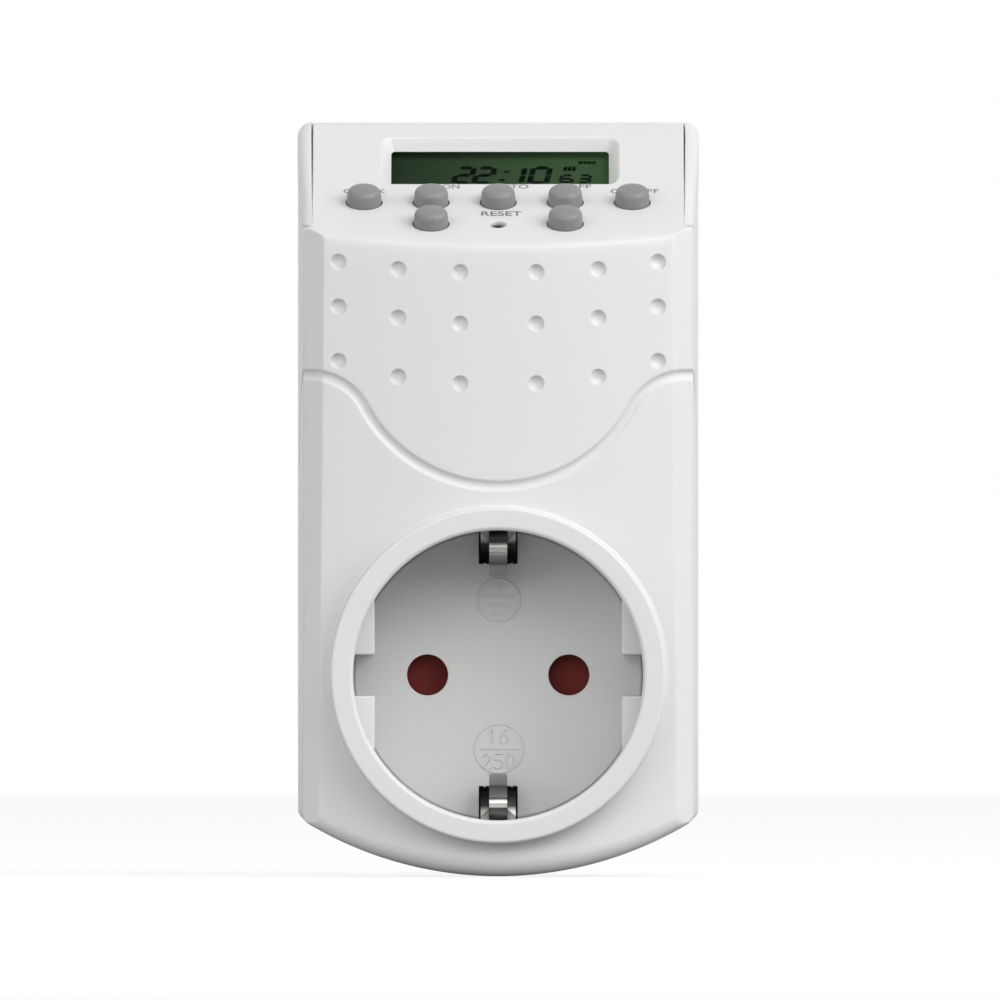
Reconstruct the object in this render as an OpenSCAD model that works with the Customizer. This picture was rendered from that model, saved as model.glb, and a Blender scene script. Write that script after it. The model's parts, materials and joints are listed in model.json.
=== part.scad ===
// Plug-in timer switch: an earthed wall-socket adapter with a digital timer on top.
// X is to the right, Z up, and -Y points at the person who faces the wall socket.
// The origin is midway between the two plug pins, on the end face of the plug.

/* [Housing] */
// Width across the side walls at the back
body_w = 54; // [53.6:0.1:54.4]
// Height of the top edge above the plug's centre
top_z = 74.4; // [74:0.1:75]
// Depth of the curved bottom edge below the plug's centre
bottom_drop = 27.05; // [26.8:0.05:27.4]
// Radius of the curved bottom edge
bottom_r = 50; // [48:0.5:52]
// Distance from the plug's end face to the back of the housing
back_d = 17; // [17:0.1:17.4]
// Distance from the plug's end face to the middle of the front face
front_d = 54.3; // [54:0.1:54.8]
// Radius of the convex front face
front_r = 92; // [86:1:100]
// Wall thickness of both mouldings
wall = 2; // [1.9:0.05:2.1]

/* [Control panel] */
// Slope of the control panel, in degrees
panel_tilt = 25; // [24.5:0.5:25.5]
// Distance from the plug's end face to the panel's top edge
panel_d = 18.8; // [18.6:0.1:19]
// Thickness of the panel
panel_t = 1.8; // [1.7:0.05:1.9]
// Diameter of the holes that the keys stand in
key_hole_d = 5; // [5:0.02:5.2]
// Diameter of the keys
key_d = 4.5; // [4.3:0.05:4.6]
// Height of the keys above the panel
key_h = 2.25; // [2.2:0.05:2.8]
// Travel of the keys
key_travel = 1; // [0.6:0.1:1]
// Distance between neighbouring keys of a row
key_pitch = 9; // [8.8:0.1:9]
// Diameter of the reset hole
reset_hole_d = 2.4; // [2.2:0.1:2.6]

/* [Socket and plug] */
// Distance between the two pins, and between the two pin holes
pin_pitch = 19; // [19]
// Diameter of the plug pins
pin_d = 4.8; // [4.8]
// Length of the plug pins
pin_l = 19; // [19]
// Inner diameter of the socket recess
recess_d = 39; // [39]
// Depth of the socket recess
recess_l = 17.5; // [17.5]
// Outer diameter of the collar around the recess
collar_d = 45; // [44.6:0.1:46.4]
// Distance from the plug's end face to the collar's rim
collar_y = 57; // [56.8:0.1:57.2]
// Diameter of the pin holes in the recess floor
pin_hole_d = 5.5; // [5.5]
// Diameter of the plug body
plug_d = 37; // [36.8:0.1:37.2]
// Turn of the safety shutter between closed and open, in degrees
shutter_turn = 40; // [38:1:42]

/* [Hidden] */
$fn = 96;

// Housing
far = 80;                                  // reaches past the housing on every side
gap = 0.1;                                 // seam between the two mouldings
half_w = body_w / 2;
side_draft = 0.85;                         // how much a side wall leans in at the bevel
bevel_y = -48.95;                          // where the side walls turn into the bevels
front_lean = 0.4;                          // the front face leans back towards the bottom
arc_z = bottom_r - bottom_drop;            // height of the bottom arc's centre
corner_r = 1.5;                            // corners between the side walls and the bottom arc
rounding_r = 2.35;                         // rounding between the bottom and the front face
rim_y = -25;                               // front edge of the rear housing's rim
rim_top = 48;                              // where the seam leaves the rim and climbs the cheek
cheek_y = -45.6;                           // front tip of the cheek
cheek_z = 60.5;
cheek_x = 25.2;                            // inner face of the cheeks
cheek_gap = 0.35;                          // gap between the panel's sides and the cheeks
cheek_bulge = 0.15;                        // how far the cheeks stand proud of the side walls
back_in = -back_d - wall;                  // inner face of the back wall

// Screw posts that join the two mouldings
posts = [[-21.5, -15.5], [21.5, -15.5], [-21.5, 45], [21.5, 45]];
post_r = 3.4;
tube_r = 4.2;
head_seat_y = -22.6;
screw_r = 1.3;

// Depths below the panel's outer face
window_h = [-2.8, -1.8];
glass_h = [-5.1, -2.9];
strip_h = [-7.2, -5.1];
board_h = [-8.8, -7.2];
board_s = [5.2, 36.2];
board_half = 22.3;
board_holes = [[-20.6, 9], [20.6, 9], [-20, 33.5], [20, 33.5]];
row_1 = 25.9;                              // distance of the upper key row from the top edge
row_2 = 32.8;
reset_s = 32.9;
window_s = [4.9, 19.85];                    // opening of the display at the panel's face
window_half = 15.95;
taper = 1.3;                               // how far the opening's sides slope in
taper_s = 0.7;                             // the same for its upper and lower edges

// Socket
floor_y = recess_l - collar_y;
floor_t = 2.5;
floor_back = floor_y + floor_t;
well_r = recess_d / 2 + wall;
pad_x = 16.55;                             // inner face of the guide pads
pad_gap = 2.75;
slot_half = 2.62;                          // earth slots
slot_in = 14.9;
slot_out = 20.8;
slot_front = -52.2;
pin_x = pin_pitch / 2;
shutter_y = [-36.8, -35];
cover_y = [-33.5, -32];
pivot_r = 1.5;
boss_at = [4.73, 10.15];                   // shutter cover screws, and the same point mirrored

// Plug
hollow_r = 16.3;
hollow_half = 14.2;
flat_x = 16.2;
rib_half = 2.4;
end_t = 3;
strap_z = 17.6;
strap_t = 0.8;
strap_half = 2.4;
pin_root_r = 1.9;                          // the pins' neck inside the end wall
pin_tip_r = 1.9;                           // rounding of the pins' tips
strip_t = 0.8;
plate_y = [-20.2, -19.4];                  // plates behind the socket contacts

// Power board
pb_y = -22.6;                              // the board's face that carries the parts
pb_t = 1.6;
pb_half = 17;
pb_z = [23, 53.5];
pb_holes = [[-15, 50.3], [15, 50.3], [-15, 25], [15, 25]];
relay_z = 30.85;
relay = [26, 12.7, 15.7];
coil_h = 7.4;                              // height of the coil's axis above the board
hinge_x = 8.7;                             // the armature's hinge line
hinge_h = 13.4;

function arc(cx, cy, r, a0, a1, n) =
    [for (i = [0:n]) let (a = a0 + (a1 - a0) * i / n) [cx + r * cos(a), cy + r * sin(a)]];
function mirrored(pts) = [for (i = [len(pts) - 1:-1:0]) [-pts[i][0], pts[i][1]]];
function front_at(x, z) =
    -front_d - z * tan(front_lean) + front_r - sqrt(front_r * front_r - x * x);

// Places children on the panel: x across, s down the slope, h above the outer face
module on_panel(x = 0, s = 0, h = 0) {
    translate([0, -panel_d, top_z]) rotate([panel_tilt, 0, 0]) translate([x, -s, h]) children();
}

// Places children on the power board: z is their height above it
module on_board(x, z) {
    translate([x, pb_y, z]) rotate([90, 0, 0]) children();
}

// Turns children so that their own z axis points forward, from y
module forward(x, z, y) {
    translate([x, y, z]) rotate([90, 0, 0]) children();
}

// Extrudes an outline given in Y and Z across X
module across(x0, x1) {
    translate([x0, 0, 0]) rotate([90, 0, 90]) linear_extrude(x1 - x0) children();
}

module block(x, y, z) {
    translate([x[0], y[0], z[0]]) cube([x[1] - x[0], y[1] - y[0], z[1] - z[0]]);
}

module slab(x_half, s, h) {
    translate([-x_half, -s[1], h[0]]) cube([2 * x_half, s[1] - s[0], h[1] - h[0]]);
}

// ---- Housing ----

module body_section(t) {
    front = -58;
    slant = front - bevel_y;
    polygon([[-half_w + t, -back_d - t], [half_w - t, -back_d - t],
        [half_w - side_draft - t, bevel_y + t * (sqrt(2) - 1)],
        [half_w - side_draft + slant - t * sqrt(2), front],
        [-half_w + side_draft - slant + t * sqrt(2), front],
        [-half_w + side_draft + t, bevel_y + t * (sqrt(2) - 1)]]);
}

module body_outline(t) {
    r = bottom_r - t;
    w = half_w - t;
    corner_x = w - corner_r;
    corner_z = arc_z - sqrt(pow(r - corner_r, 2) - corner_x * corner_x);
    turn = atan2(corner_z - arc_z, corner_x);
    right = concat(arc(0, arc_z, r, -90, turn, 14), arc(corner_x, corner_z, corner_r, turn, 0, 5));
    polygon(concat(right, [[w, top_z - t], [-w, top_z - t]], [for (p = mirrored(right)) p]));
}

module front_cylinder(t) {
    translate([0, front_r - front_d, 0]) rotate([front_lean, 0, 0])
        cylinder(r = front_r - t, h = 3 * far, center = true, $fn = 240);
}

// The housing's outer shape, or the same shape inset by t with its roof under the panel
module body_solid(t, roof) {
    difference() {
        intersection() {
            translate([0, 0, -far / 2]) linear_extrude(2 * far) body_section(t);
            translate([0, 5, 0]) rotate([90, 0, 0]) linear_extrude(far) body_outline(t);
            front_cylinder(t);
        }
        on_panel(0, 0, -roof) translate([-far / 2, -far, 0]) cube([far, 2 * far, far]);
    }
}

// Space that the bottom's rounded front edge stays inside
module bottom_rounding() {
    front = front_d + 0.1;
    edge = arc(bottom_r - rounding_r, front - rounding_r, rounding_r, 10, 90, 8);
    union() {
        block([-far / 2, far / 2], [-far, 5], [-14, 2 * far]);
        translate([0, 0, arc_z]) rotate([90, 0, 0])
            rotate_extrude($fn = 180)
                polygon(concat([[0, 0], [bottom_r + 2, 0], [bottom_r + 2, front - 6]],
                    edge, [[0, front]]));
    }
}

module housing_shell() {
    difference() {
        intersection() {
            body_solid(0, 0);
            bottom_rounding();
        }
        body_solid(wall, panel_t);
    }
}

// The part of the shell that belongs to the rear housing, widened by g for the cover's edge
module rear_zone(g) {
    inner = g > 0 ? cheek_x - cheek_gap : cheek_x;
    block([-far, far], [rim_y - g, far], [-far, rim_top - g]);
    block([-far, far], [back_in - g, far], [-far, 2 * far]);
    for (side = [-1, 1])
        scale([side, 1, 1]) across(inner, far)
            polygon([[rim_y - g, rim_top - g - 4], [cheek_y - g, cheek_z - g], [-far, cheek_z - g],
                [-far, far], [far, far], [far, rim_top - g - 4]]);
}

module front_cover_holes() {
    on_panel() {
        for (x = [-2:2]) translate([x * key_pitch, -row_1, -5]) cylinder(d = key_hole_d, h = 10);
        for (x = [-1, 1]) translate([x * key_pitch, -row_2, -5]) cylinder(d = key_hole_d, h = 10);
        translate([0, -reset_s, -5]) cylinder(d = reset_hole_d, h = 10);
        display_opening();
    }
    for (side = [-1, 1]) {
        forward(side * pin_x, 0, floor_back + 1) cylinder(d = pin_hole_d, h = floor_t + 2);
        scale([1, 1, side])
            block([-slot_half, slot_half], [slot_front, floor_back + 1], [slot_in, slot_out]);
    }
    dimples();
}

// Display opening: its four sides slope in towards the window
module display_opening() {
    d = panel_t;
    out = [window_half + taper / d, window_s[0] - taper_s / d, window_s[1] + taper_s / d];
    intersection() {
        rotate([90, 0, 0]) translate([0, 0, -far]) linear_extrude(2 * far)
            polygon([[-out[0], 1], [-window_half + taper, -d], [-window_half + taper, -d - 1],
                [window_half - taper, -d - 1], [window_half - taper, -d], [out[0], 1]]);
        rotate([90, 0, 90]) translate([0, 0, -far]) linear_extrude(2 * far)
            polygon([[-out[2], 1], [-window_s[1] + taper_s, -d], [-window_s[1] + taper_s, -d - 1],
                [-window_s[0] - taper_s, -d - 1], [-window_s[0] - taper_s, -d], [-out[1], 1]]);
    }
}

// Three rows of shallow round dimples in the upper front face
module dimples() {
    sphere_r = 1.8;
    depth = 0.33;
    columns = [[5.1, [54, 47.1, 39.1]], [13.4, [54.4, 47.9, 40]], [21.4, [55.4, 49.4, 42.1]]];
    for (side = [-1, 1])
        for (column = columns)
            for (z = column[1])
                translate([side * column[0], front_at(column[0], z) + depth - sphere_r, z])
                    sphere(r = sphere_r, $fn = 32);
}

module recess_space() {
    forward(0, 0, floor_y) cylinder(d = recess_d, h = recess_l + 1);
}

// Four guide pads, which leave the gap for the plug's ribs
module guide_pads() {
    intersection() {
        forward(0, 0, floor_y) cylinder(r = recess_d / 2 + 0.5, h = recess_l - 4);
        for (side = [-1, 1])
            for (up = [-1, 1])
                scale([side, 1, up])
                    block([pad_x, far], [-far, 0], [pad_gap, 10.2]);
    }
}

module front_cover() {
    color("white")
    difference() {
        union() {
            difference() {
                union() {
                    difference() {
                        housing_shell();
                        rear_zone(gap);
                    }
                    intersection() {
                        forward(0, 0, floor_back) cylinder(r = collar_d / 2, h = collar_y + floor_back);
                        block([-far, far], [-far, -50], [-far, far]);
                    }
                    forward(0, 0, floor_back) cylinder(r = well_r, h = 15);
                }
                recess_space();
            }
            guide_pads();
            for (p = posts) cover_post(p);
            forward(0, 0, cover_y[0])
                difference() {
                    cylinder(r = 14.6, h = floor_back * -1 + cover_y[0] + 0.5);
                    translate([0, 0, -1]) cylinder(r = 13.6, h = far);
                }
            for (side = [-1, 1])
                forward(side * boss_at[0], side * boss_at[1], cover_y[0]) cylinder(r = 2, h = 4);
            forward(0, 0, cover_y[0]) cylinder(r = pivot_r, h = 4);
            for (p = board_holes)
                on_panel(p[0], p[1], board_h[1]) cylinder(r = 2, h = 6);
        }
        front_cover_holes();
        for (p = posts)
            forward(p[0], p[1], rim_y + 1) cylinder(r = screw_r + 0.02, h = 14);
        for (side = [-1, 1])
            forward(side * boss_at[0], side * boss_at[1], cover_y[0] + 1) cylinder(r = 0.82, h = 4.4);
        for (p = board_holes)
            on_panel(p[0], p[1], board_h[1] - 1) cylinder(r = 0.82, h = 5);
    }
}

module cover_post(p) {
    forward(p[0], p[1], rim_y - gap) cylinder(r = post_r, h = 25);
}

module plug_body() {
    difference() {
        intersection() {
            union() {
                translate([0, -back_d - 0.5, 0]) rotate([-90, 0, 0])
                    cylinder(d = plug_d, h = back_d - 0.3);
                translate([0, -0.8, 0]) rotate([-90, 0, 0])
                    cylinder(d1 = plug_d, d2 = plug_d - 1.6, h = 0.8);
            }
            union() {
                block([-flat_x, flat_x], [-far, far], [-far, far]);
                block([-far, far], [-far, far], [-rib_half, rib_half]);
            }
        }
        for (side = [-1, 1])
            scale([1, 1, side])
                block([-strap_half - 0.3, strap_half + 0.3], [-far, far], [strap_z - 0.05, far]);
    }
}

module plug_hollow() {
    intersection() {
        translate([0, back_in - 0.5, 0]) rotate([-90, 0, 0]) cylinder(r = hollow_r, h = -back_in + 0.5 - end_t);
        block([-hollow_half, hollow_half], [-far, far], [-far, far]);
    }
}

module rear_housing() {
    color("white")
    difference() {
        union() {
            intersection() {
                housing_shell();
                rear_zone(0);
            }
            for (side = [-1, 1]) scale([side, 1, 1]) cheek_bulge_pad();
            plug_body();
            for (p = posts) forward(p[0], p[1], back_in + 1) cylinder(r = tube_r, h = back_in + 1 - rim_y);
            for (p = pb_holes)
                forward(p[0], p[1], back_in + 1)
                    cylinder(r = 2.2, h = back_in + 1 - pb_y - pb_t);
        }
        plug_hollow();
        for (side = [-1, 1]) {
            forward(side * pin_x, 0, 1) cylinder(r = pin_root_r + 0.02, h = far / 10);
            scale([1, 1, side])
                block([-strap_half - 0.3, strap_half + 0.3], [back_in - 1, -back_d + 0.5],
                    [strap_z - 0.2, strap_z + strap_t + 0.2]);
        }
        for (p = posts) {
            forward(p[0], p[1], 0) cylinder(r = 3.2, h = -head_seat_y);
            forward(p[0], p[1], 0) cylinder(r = 1.6, h = far);
        }
        for (p = pb_holes)
            forward(p[0], p[1], back_in + 1) cylinder(r = 0.82, h = 5);
    }
}

// Slight swelling of the cheeks' outer faces
module cheek_bulge_pad() {
    across(half_w - 1.2, half_w + cheek_bulge)
        polygon([[-back_d - 0.6, 62], [-back_d - 0.6, 73.4], [-19, 73.4], [-40, 63.6], [-40, 62]]);
}

// Pan-head screw whose thread points forward from its head
module screw(head_r, head_l, shank_r, shank_l) {
    difference() {
        union() {
            translate([0, 0, -head_l]) cylinder(r = head_r, h = head_l);
            translate([0, 0, -0.01]) cylinder(r = shank_r, h = shank_l);
        }
        for (a = [0, 90])
            translate([0, 0, -head_l - 0.1]) rotate([0, 0, a])
                translate([-head_r * 0.6, -0.25, 0]) cube([head_r * 1.2, 0.5, head_l * 0.6]);
    }
}

module housing_screws() {
    color("silver")
    for (p = posts) forward(p[0], p[1], head_seat_y) screw(2.8, 1.8, screw_r, 13);
}

// ---- Display and keypad ----

module display_window() {
    color([0.8, 0.85, 0.85, 0.4]) on_panel() slab(17.5, [3, 21.8], window_h);
}

module display_frame() {
    color("ivory") on_panel()
        difference() {
            union() {
                slab(18.4, [4.2, 22], [strip_h[0], window_h[0]]);
                slab(18.4, [2.7, 4.3], [glass_h[0], window_h[0]]);
            }
            slab(16.9, [3, 21.4], [strip_h[0] - 1, window_h[0] + 1]);
        }
}

module display_glass() {
    color("darkolivegreen") on_panel() slab(16.8, [3.1, 21.3], glass_h);
}

module display_contact_strips() {
    color("dimgray") on_panel() {
        slab(16, [5.2, 7], strip_h);
        slab(16, [19.2, 21], strip_h);
    }
}

module key(x, s) {
    flange = 3.1;
    side_h = 1.4;
    r = key_d / 2;
    dome = [for (a = [0:15:90]) [r * pow(cos(a), 0.75), side_h + (key_h - side_h) * sin(a)]];
    color("gray")
    on_panel(x, s)
        rotate_extrude()
            polygon(concat([[0, -4.5], [1.6, -4.5], [1.6, -2.9], [flange, -2.9], [flange, -1.9], [r, -1.9]],
                [for (i = [0:5]) dome[i]], [[0, key_h]]));
}

module key_clock() { key(-2 * key_pitch, row_1); }
module key_on() { key(-key_pitch, row_1); }
module key_auto() { key(0, row_1); }
module key_off() { key(key_pitch, row_1); }
module key_on_off() { key(2 * key_pitch, row_1); }
module key_lower_left() { key(-key_pitch, row_2); }
module key_lower_right() { key(key_pitch, row_2); }

// One collapsing dome of the mat, with its contact pill
module mat_dome() {
    rotate_extrude()
        polygon([[0, -4.52], [2.2, -4.52], [2.2, -4.9], [3.3, -6.2], [3.3, -6.6], [2.6, -6.6],
            [1.6, -5.3], [1.25, -5.3], [1.25, -6.15], [0, -6.15]]);
}

module keypad_mat() {
    sheet = [board_h[1], -6.2];
    color("gray")
    on_panel()
        union() {
            difference() {
                union() {
                    slab(21.5, [22.9, 29.8], sheet);
                    slab(13, [29.7, 36], sheet);
                }
                slab(3.4, [29.5, 40], [-8, -5]);
                key_places() translate([0, 0, -8]) cylinder(r = 2.6, h = 3);
            }
            key_places() mat_dome();
        }
}

module key_places() {
    for (x = [-2:2]) translate([x * key_pitch, -row_1, 0]) children();
    for (x = [-1, 1]) translate([x * key_pitch, -row_2, 0]) children();
}

module reset_switch() {
    color("black") on_panel(0, reset_s)
        difference() {
            translate([-3, -3, board_h[1]]) cube([6, 6, 3.5]);
            translate([0, 0, -5.4]) cylinder(r = 1.65, h = 3);
        }
}

module reset_plunger() {
    color("white") on_panel(0, reset_s, -5) cylinder(r = 1.6, h = 2.3);
}

module control_board() {
    color("seagreen") on_panel()
        difference() {
            slab(board_half, board_s, board_h);
            for (p = board_holes) translate([p[0], -p[1], -10]) cylinder(r = 1, h = 5);
        }
}

module control_board_screws() {
    color("silver")
    for (p = board_holes) on_panel(p[0], p[1], board_h[0]) screw(1.7, 1.1, 0.8, 5);
}

module controller_chip() {
    color("black") on_panel(13, 15.5, board_h[0] - 1.4)
        rotate_extrude() polygon([[0, 0], [3.6, 0], [5, 0.5], [5.6, 1.4], [0, 1.4]]);
}

module crystal() {
    color("silver") on_panel(4, 24, board_h[0] - 1.2) rotate([0, 90, 0]) cylinder(r = 1.1, h = 6.2);
}

module backup_cell() {
    cell_r = 5.75;
    color("lightgray") on_panel(-12, 15, board_h[0] - 6) {
        cylinder(r = cell_r, h = 4.4);
        translate([0, 0, -0.4]) cylinder(r = 4, h = 0.5);
    }
}

module cell_tabs() {
    under = board_h[0] - 6;
    color("silver") on_panel(-12, 15) {
        translate([-1.5, -1.5, under + 4.4]) cube([9, 3, 0.2]);
        translate([6.8, -1.5, under + 4.4]) cube([0.7, 3, 1.6]);
        translate([-1.5, -1.5, under - 0.6]) cube([9.9, 3, 0.2]);
        translate([7.8, -1.5, under - 0.6]) cube([0.6, 3, 6.6]);
    }
}

// ---- Power side ----

// Flat cable from the top of the power board to the underside of the control board
module ribbon_cable() {
    t = 0.9;
    y1 = -26;
    function under(y) = top_z + (y + panel_d) * tan(panel_tilt) + board_h[0] / cos(panel_tilt);
    color("lightgray")
    across(-1, 5)
        polygon([[pb_y, 51.6], [y1 - t + 0.5, 51.6], [y1 - t, 52.1], [y1 - t, under(y1 - t)],
            [y1, under(y1)], [y1, 52.5], [pb_y, 52.5]]);
}

module power_board() {
    color("seagreen")
    difference() {
        block([-pb_half, pb_half], [pb_y, pb_y + pb_t], pb_z);
        for (p = pb_holes) forward(p[0], p[1], 0) cylinder(r = 1, h = far);
    }
}

module power_board_screws() {
    color("silver")
    for (p = pb_holes)
        translate([p[0], pb_y, p[1]]) rotate([-90, 0, 0]) screw(1.8, 1.2, 0.8, 4.4);
}

module relay_base() {
    color("dimgray") on_board(0, relay_z)
        translate([-relay[0] / 2, -relay[1] / 2, 0.3]) cube([relay[0], relay[1], 2]);
}

module relay_case() {
    t = 0.8;
    color("royalblue") on_board(0, relay_z)
        difference() {
            translate([-relay[0] / 2, -relay[1] / 2, 2.3]) cube([relay[0], relay[1], relay[2] - 2.3]);
            translate([-relay[0] / 2 + t, -relay[1] / 2 + t, 0])
                cube([relay[0] - 2 * t, relay[1] - 2 * t, relay[2] - t]);
        }
}

module relay_bobbin() {
    color("ivory") on_board(0, relay_z)
        difference() {
            union() {
                translate([-11, -4.9, 2.3]) cube([0.8, 9.8, 10.2]);
                translate([6.4, -4.9, 2.3]) cube([0.8, 9.8, 10.2]);
                translate([-11, 0, coil_h]) rotate([0, 90, 0]) cylinder(r = 2.1, h = 18.2);
            }
            translate([-12, 0, coil_h]) rotate([0, 90, 0]) cylinder(r = 1.6, h = 20);
        }
}

module relay_winding() {
    color("chocolate") on_board(0, relay_z)
        translate([-10.15, 0, coil_h]) rotate([0, 90, 0])
            difference() {
                cylinder(r = 4.6, h = 16.5);
                translate([0, 0, -1]) cylinder(r = 2.14, h = 20);
            }
}

module relay_yoke() {
    color("silver") on_board(0, relay_z) {
        translate([-12.1, -4.5, 2.4]) cube([1.05, 9, 11.6]);
        translate([-12.1, -4.5, 12.8]) cube([20.7, 9, 1.2]);
        translate([-11.5, 0, coil_h]) rotate([0, 90, 0]) cylinder(r = 1.5, h = 19.4);
    }
}

module relay_armature() {
    color("silver") on_board(0, relay_z)
        translate([hinge_x + 0.05, -4.5, 5.2]) cube([1, 9, 8.7]);
}

module relay_moving_contact() {
    color("goldenrod") on_board(0, relay_z) {
        translate([hinge_x + 1.05, -1.75, 2.9]) cube([0.2, 3.5, 8]);
        translate([hinge_x + 0.7, 0, 4]) rotate([0, 90, 0]) cylinder(r = 0.9, h = 0.4);
    }
}

module relay_fixed_contact() {
    color("goldenrod") on_board(0, relay_z) {
        translate([7.6, -1.5, 2.3]) cube([0.5, 3, 2.6]);
        translate([8, 0, 4]) rotate([0, 90, 0]) cylinder(r = 0.9, h = 0.25);
    }
}

module dropper_capacitor() {
    color("gold") on_board(-5.5, 41.6) translate([-8.5, -3.5, 0.3]) cube([17, 7, 13]);
}

module smoothing_capacitor() {
    color("midnightblue") on_board(9.6, 42.2) translate([0, 0, 0.3]) cylinder(r = 4, h = 11.5);
}

module varistor() {
    color("steelblue") on_board(-6, 47.3) translate([0, 0, 5.5]) rotate([90, 0, 0])
        cylinder(r = 4.5, h = 3.4, center = true);
}

module bridge_rectifier() {
    color("black") on_board(8.8, 49.8) translate([-3.8, -2.9, 0.4]) cube([7.6, 5.8, 3.2]);
}

module fuse() {
    color("tan") on_board(-11.6, 51.4) translate([0, 0, 2]) rotate([0, 90, 0]) cylinder(r = 1.5, h = 9);
}

module resistors() {
    color("peru")
    for (x = [-15.6, 15.6])
        on_board(x, 33) translate([0, 0, 1.8]) rotate([-90, 0, 0]) cylinder(r = 1.3, h = 8);
}

module relay_transistor() {
    color("black") on_board(2, 48.4)
        linear_extrude(5)
            intersection() {
                circle(r = 2.2);
                translate([-3, -1.2]) square([6, 4]);
            }
}

// ---- Contacts, plug pins and earth ----

module plug_pin(x) {
    tip = pin_d / 2;
    color("silver")
    translate([x, 0, 0]) rotate([-90, 0, 0])
        rotate_extrude()
            polygon(concat([[0, -8], [1.6, -8], [1.6, -5], [3.5, -5], [3.5, -end_t],
                    [pin_root_r, -end_t], [pin_root_r, 0], [tip, 0]],
                arc(tip - pin_tip_r, pin_l - pin_tip_r, pin_tip_r, 0, 90, 6), [[0, pin_l]]));
}

module live_pin() { plug_pin(-pin_x); }
module neutral_pin() { plug_pin(pin_x); }

// Strip from a pin's tail up to the power board's back
module pin_strip(x) {
    difference() {
        union() {
            block([x - 2.6, x + 2.6], [-5 - strip_t, -5], [-3, 10.5]);
            block([x - 2, x + 2], [-21, -5], [9.7, 10.5]);
            block([x - 2, x + 2], [-21, plate_y[0]], [9.7, 27]);
        }
        forward(x, 0, 0) cylinder(r = 1.65, h = 9);
    }
}

module live_strip() {
    color("goldenrod") pin_strip(-pin_x);
}

module neutral_strip() {
    color("goldenrod") {
        pin_strip(pin_x);
        block([pin_x - 2.6, pin_x + 2.6], [plate_y[0], -5], [-3.8, -3]);
        block([pin_x - 2.6, pin_x + 2.6], plate_y, [-3.8, 3]);
    }
}

module load_strip() {
    color("goldenrod") {
        block([-pin_x - 2.6, -pin_x + 2.6], plate_y, [-3.8, 3]);
        block([-pin_x - 2.6, -2.9], plate_y, [-3.8, -0.2]);
        block([-6.4, -2.9], plate_y, [-3.8, 27]);
        block([-6.4, -2.9], [-21, plate_y[1]], [25, 27]);
    }
}

// Slit spring sleeve with a flared mouth, which grips an inserted pin
module socket_contact(x) {
    front = -31.6;
    color("goldenrod")
    difference() {
        forward(x, 0, plate_y[0])
            rotate_extrude()
                polygon([[2.3, 0], [2.9, 0], [2.9, 10], [3.2, 11.4], [2.7, 11.4], [2.3, 10.2]]);
        block([x - 0.6, x + 0.6], [front - 1, plate_y[0] - 1.5], [-far, far]);
    }
}

module live_contact() { socket_contact(-pin_x); }
module neutral_contact() { socket_contact(pin_x); }

// U-shaped bracket: its arms stand in the earth slots and fold back into spring tongues
module socket_earth_bracket() {
    base_y = [-31, -30.2];
    arm_z = [19.7, 20.5];
    tongue_half = 1.22;
    t = 0.5;
    fold_y = -41.5;
    color("silver")
    difference() {
        for (side = [-1, 1])
            scale([1, 1, side]) {
                block([-strap_half, strap_half], base_y, [0, arm_z[1]]);
                block([-strap_half, strap_half], [fold_y, base_y[1]], arm_z);
                across(-tongue_half, tongue_half)
                    polygon([[fold_y, arm_z[1]], [-42.5, 20.3], [-49.6, 18.6], [-50.6, 18.28],
                        [-51.2, 17.95], [-51.45, 17.55], [-51.3, 17.15], [-50.8, 16.75],
                        [-46.6, 14.3], [-44.8, 13.5], [-43.6, 13.25], [-42.2, 13.5], [-40.2, 15],
                        [-40.5, 15.3], [-42.4, 13.45 + t], [-43.6, 13.2 + t], [-44.7, 13.45 + t],
                        [-46.3, 14.25 + t], [-50.5, 17.2], [-50.8, 17.5], [-50.4, 17.8],
                        [-49.6, 18.1], [-42.3, 19.8], [fold_y, arm_z[0]]]);
            }
        forward(0, 0, base_y[1] + 1) cylinder(r = 1.25, h = 3);
    }
}

module plug_earth_strap() {
    color("silver")
    difference() {
        union() {
            block([-strap_half, strap_half], plate_y, [-strap_z - strap_t, strap_z + strap_t]);
            for (side = [-1, 1])
                scale([1, 1, side])
                    block([-strap_half, strap_half], [plate_y[0], -1.5], [strap_z, strap_z + strap_t]);
        }
        forward(0, 0, plate_y[1] + 1) cylinder(r = 1.25, h = 3);
    }
}

// Riveted post that joins the plug's earth strap to the socket's earth bracket
module earth_post() {
    color("goldenrod")
    forward(0, 0, -18.8)
        rotate_extrude()
            polygon([[0, 0], [1.9, 0], [1.9, 0.6], [1.2, 0.6], [1.2, 1.4], [2.1, 1.4], [2.1, 11.4],
                [1.2, 11.4], [1.2, 12.2], [1.9, 12.2], [1.9, 12.8], [0, 12.8]]);
}

// ---- Safety shutter ----

module shutter_rotor() {
    blade_r = 3.4;
    thick = shutter_y[1] - shutter_y[0];
    color("darkred")
    forward(0, 0, shutter_y[1])
        difference() {
            union() {
                cylinder(r = 3, h = thick);
                translate([-pin_x, -2, 0]) cube([pin_pitch, 4, thick]);
                for (side = [-1, 1]) translate([side * pin_x, 0, 0]) cylinder(r = blade_r, h = thick);
                translate([5.4, 1, -1.2]) cylinder(r = 0.6, h = 1.3);
            }
            translate([0, 0, -1]) cylinder(r = pivot_r + 0.06, h = 6);
        }
}

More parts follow.
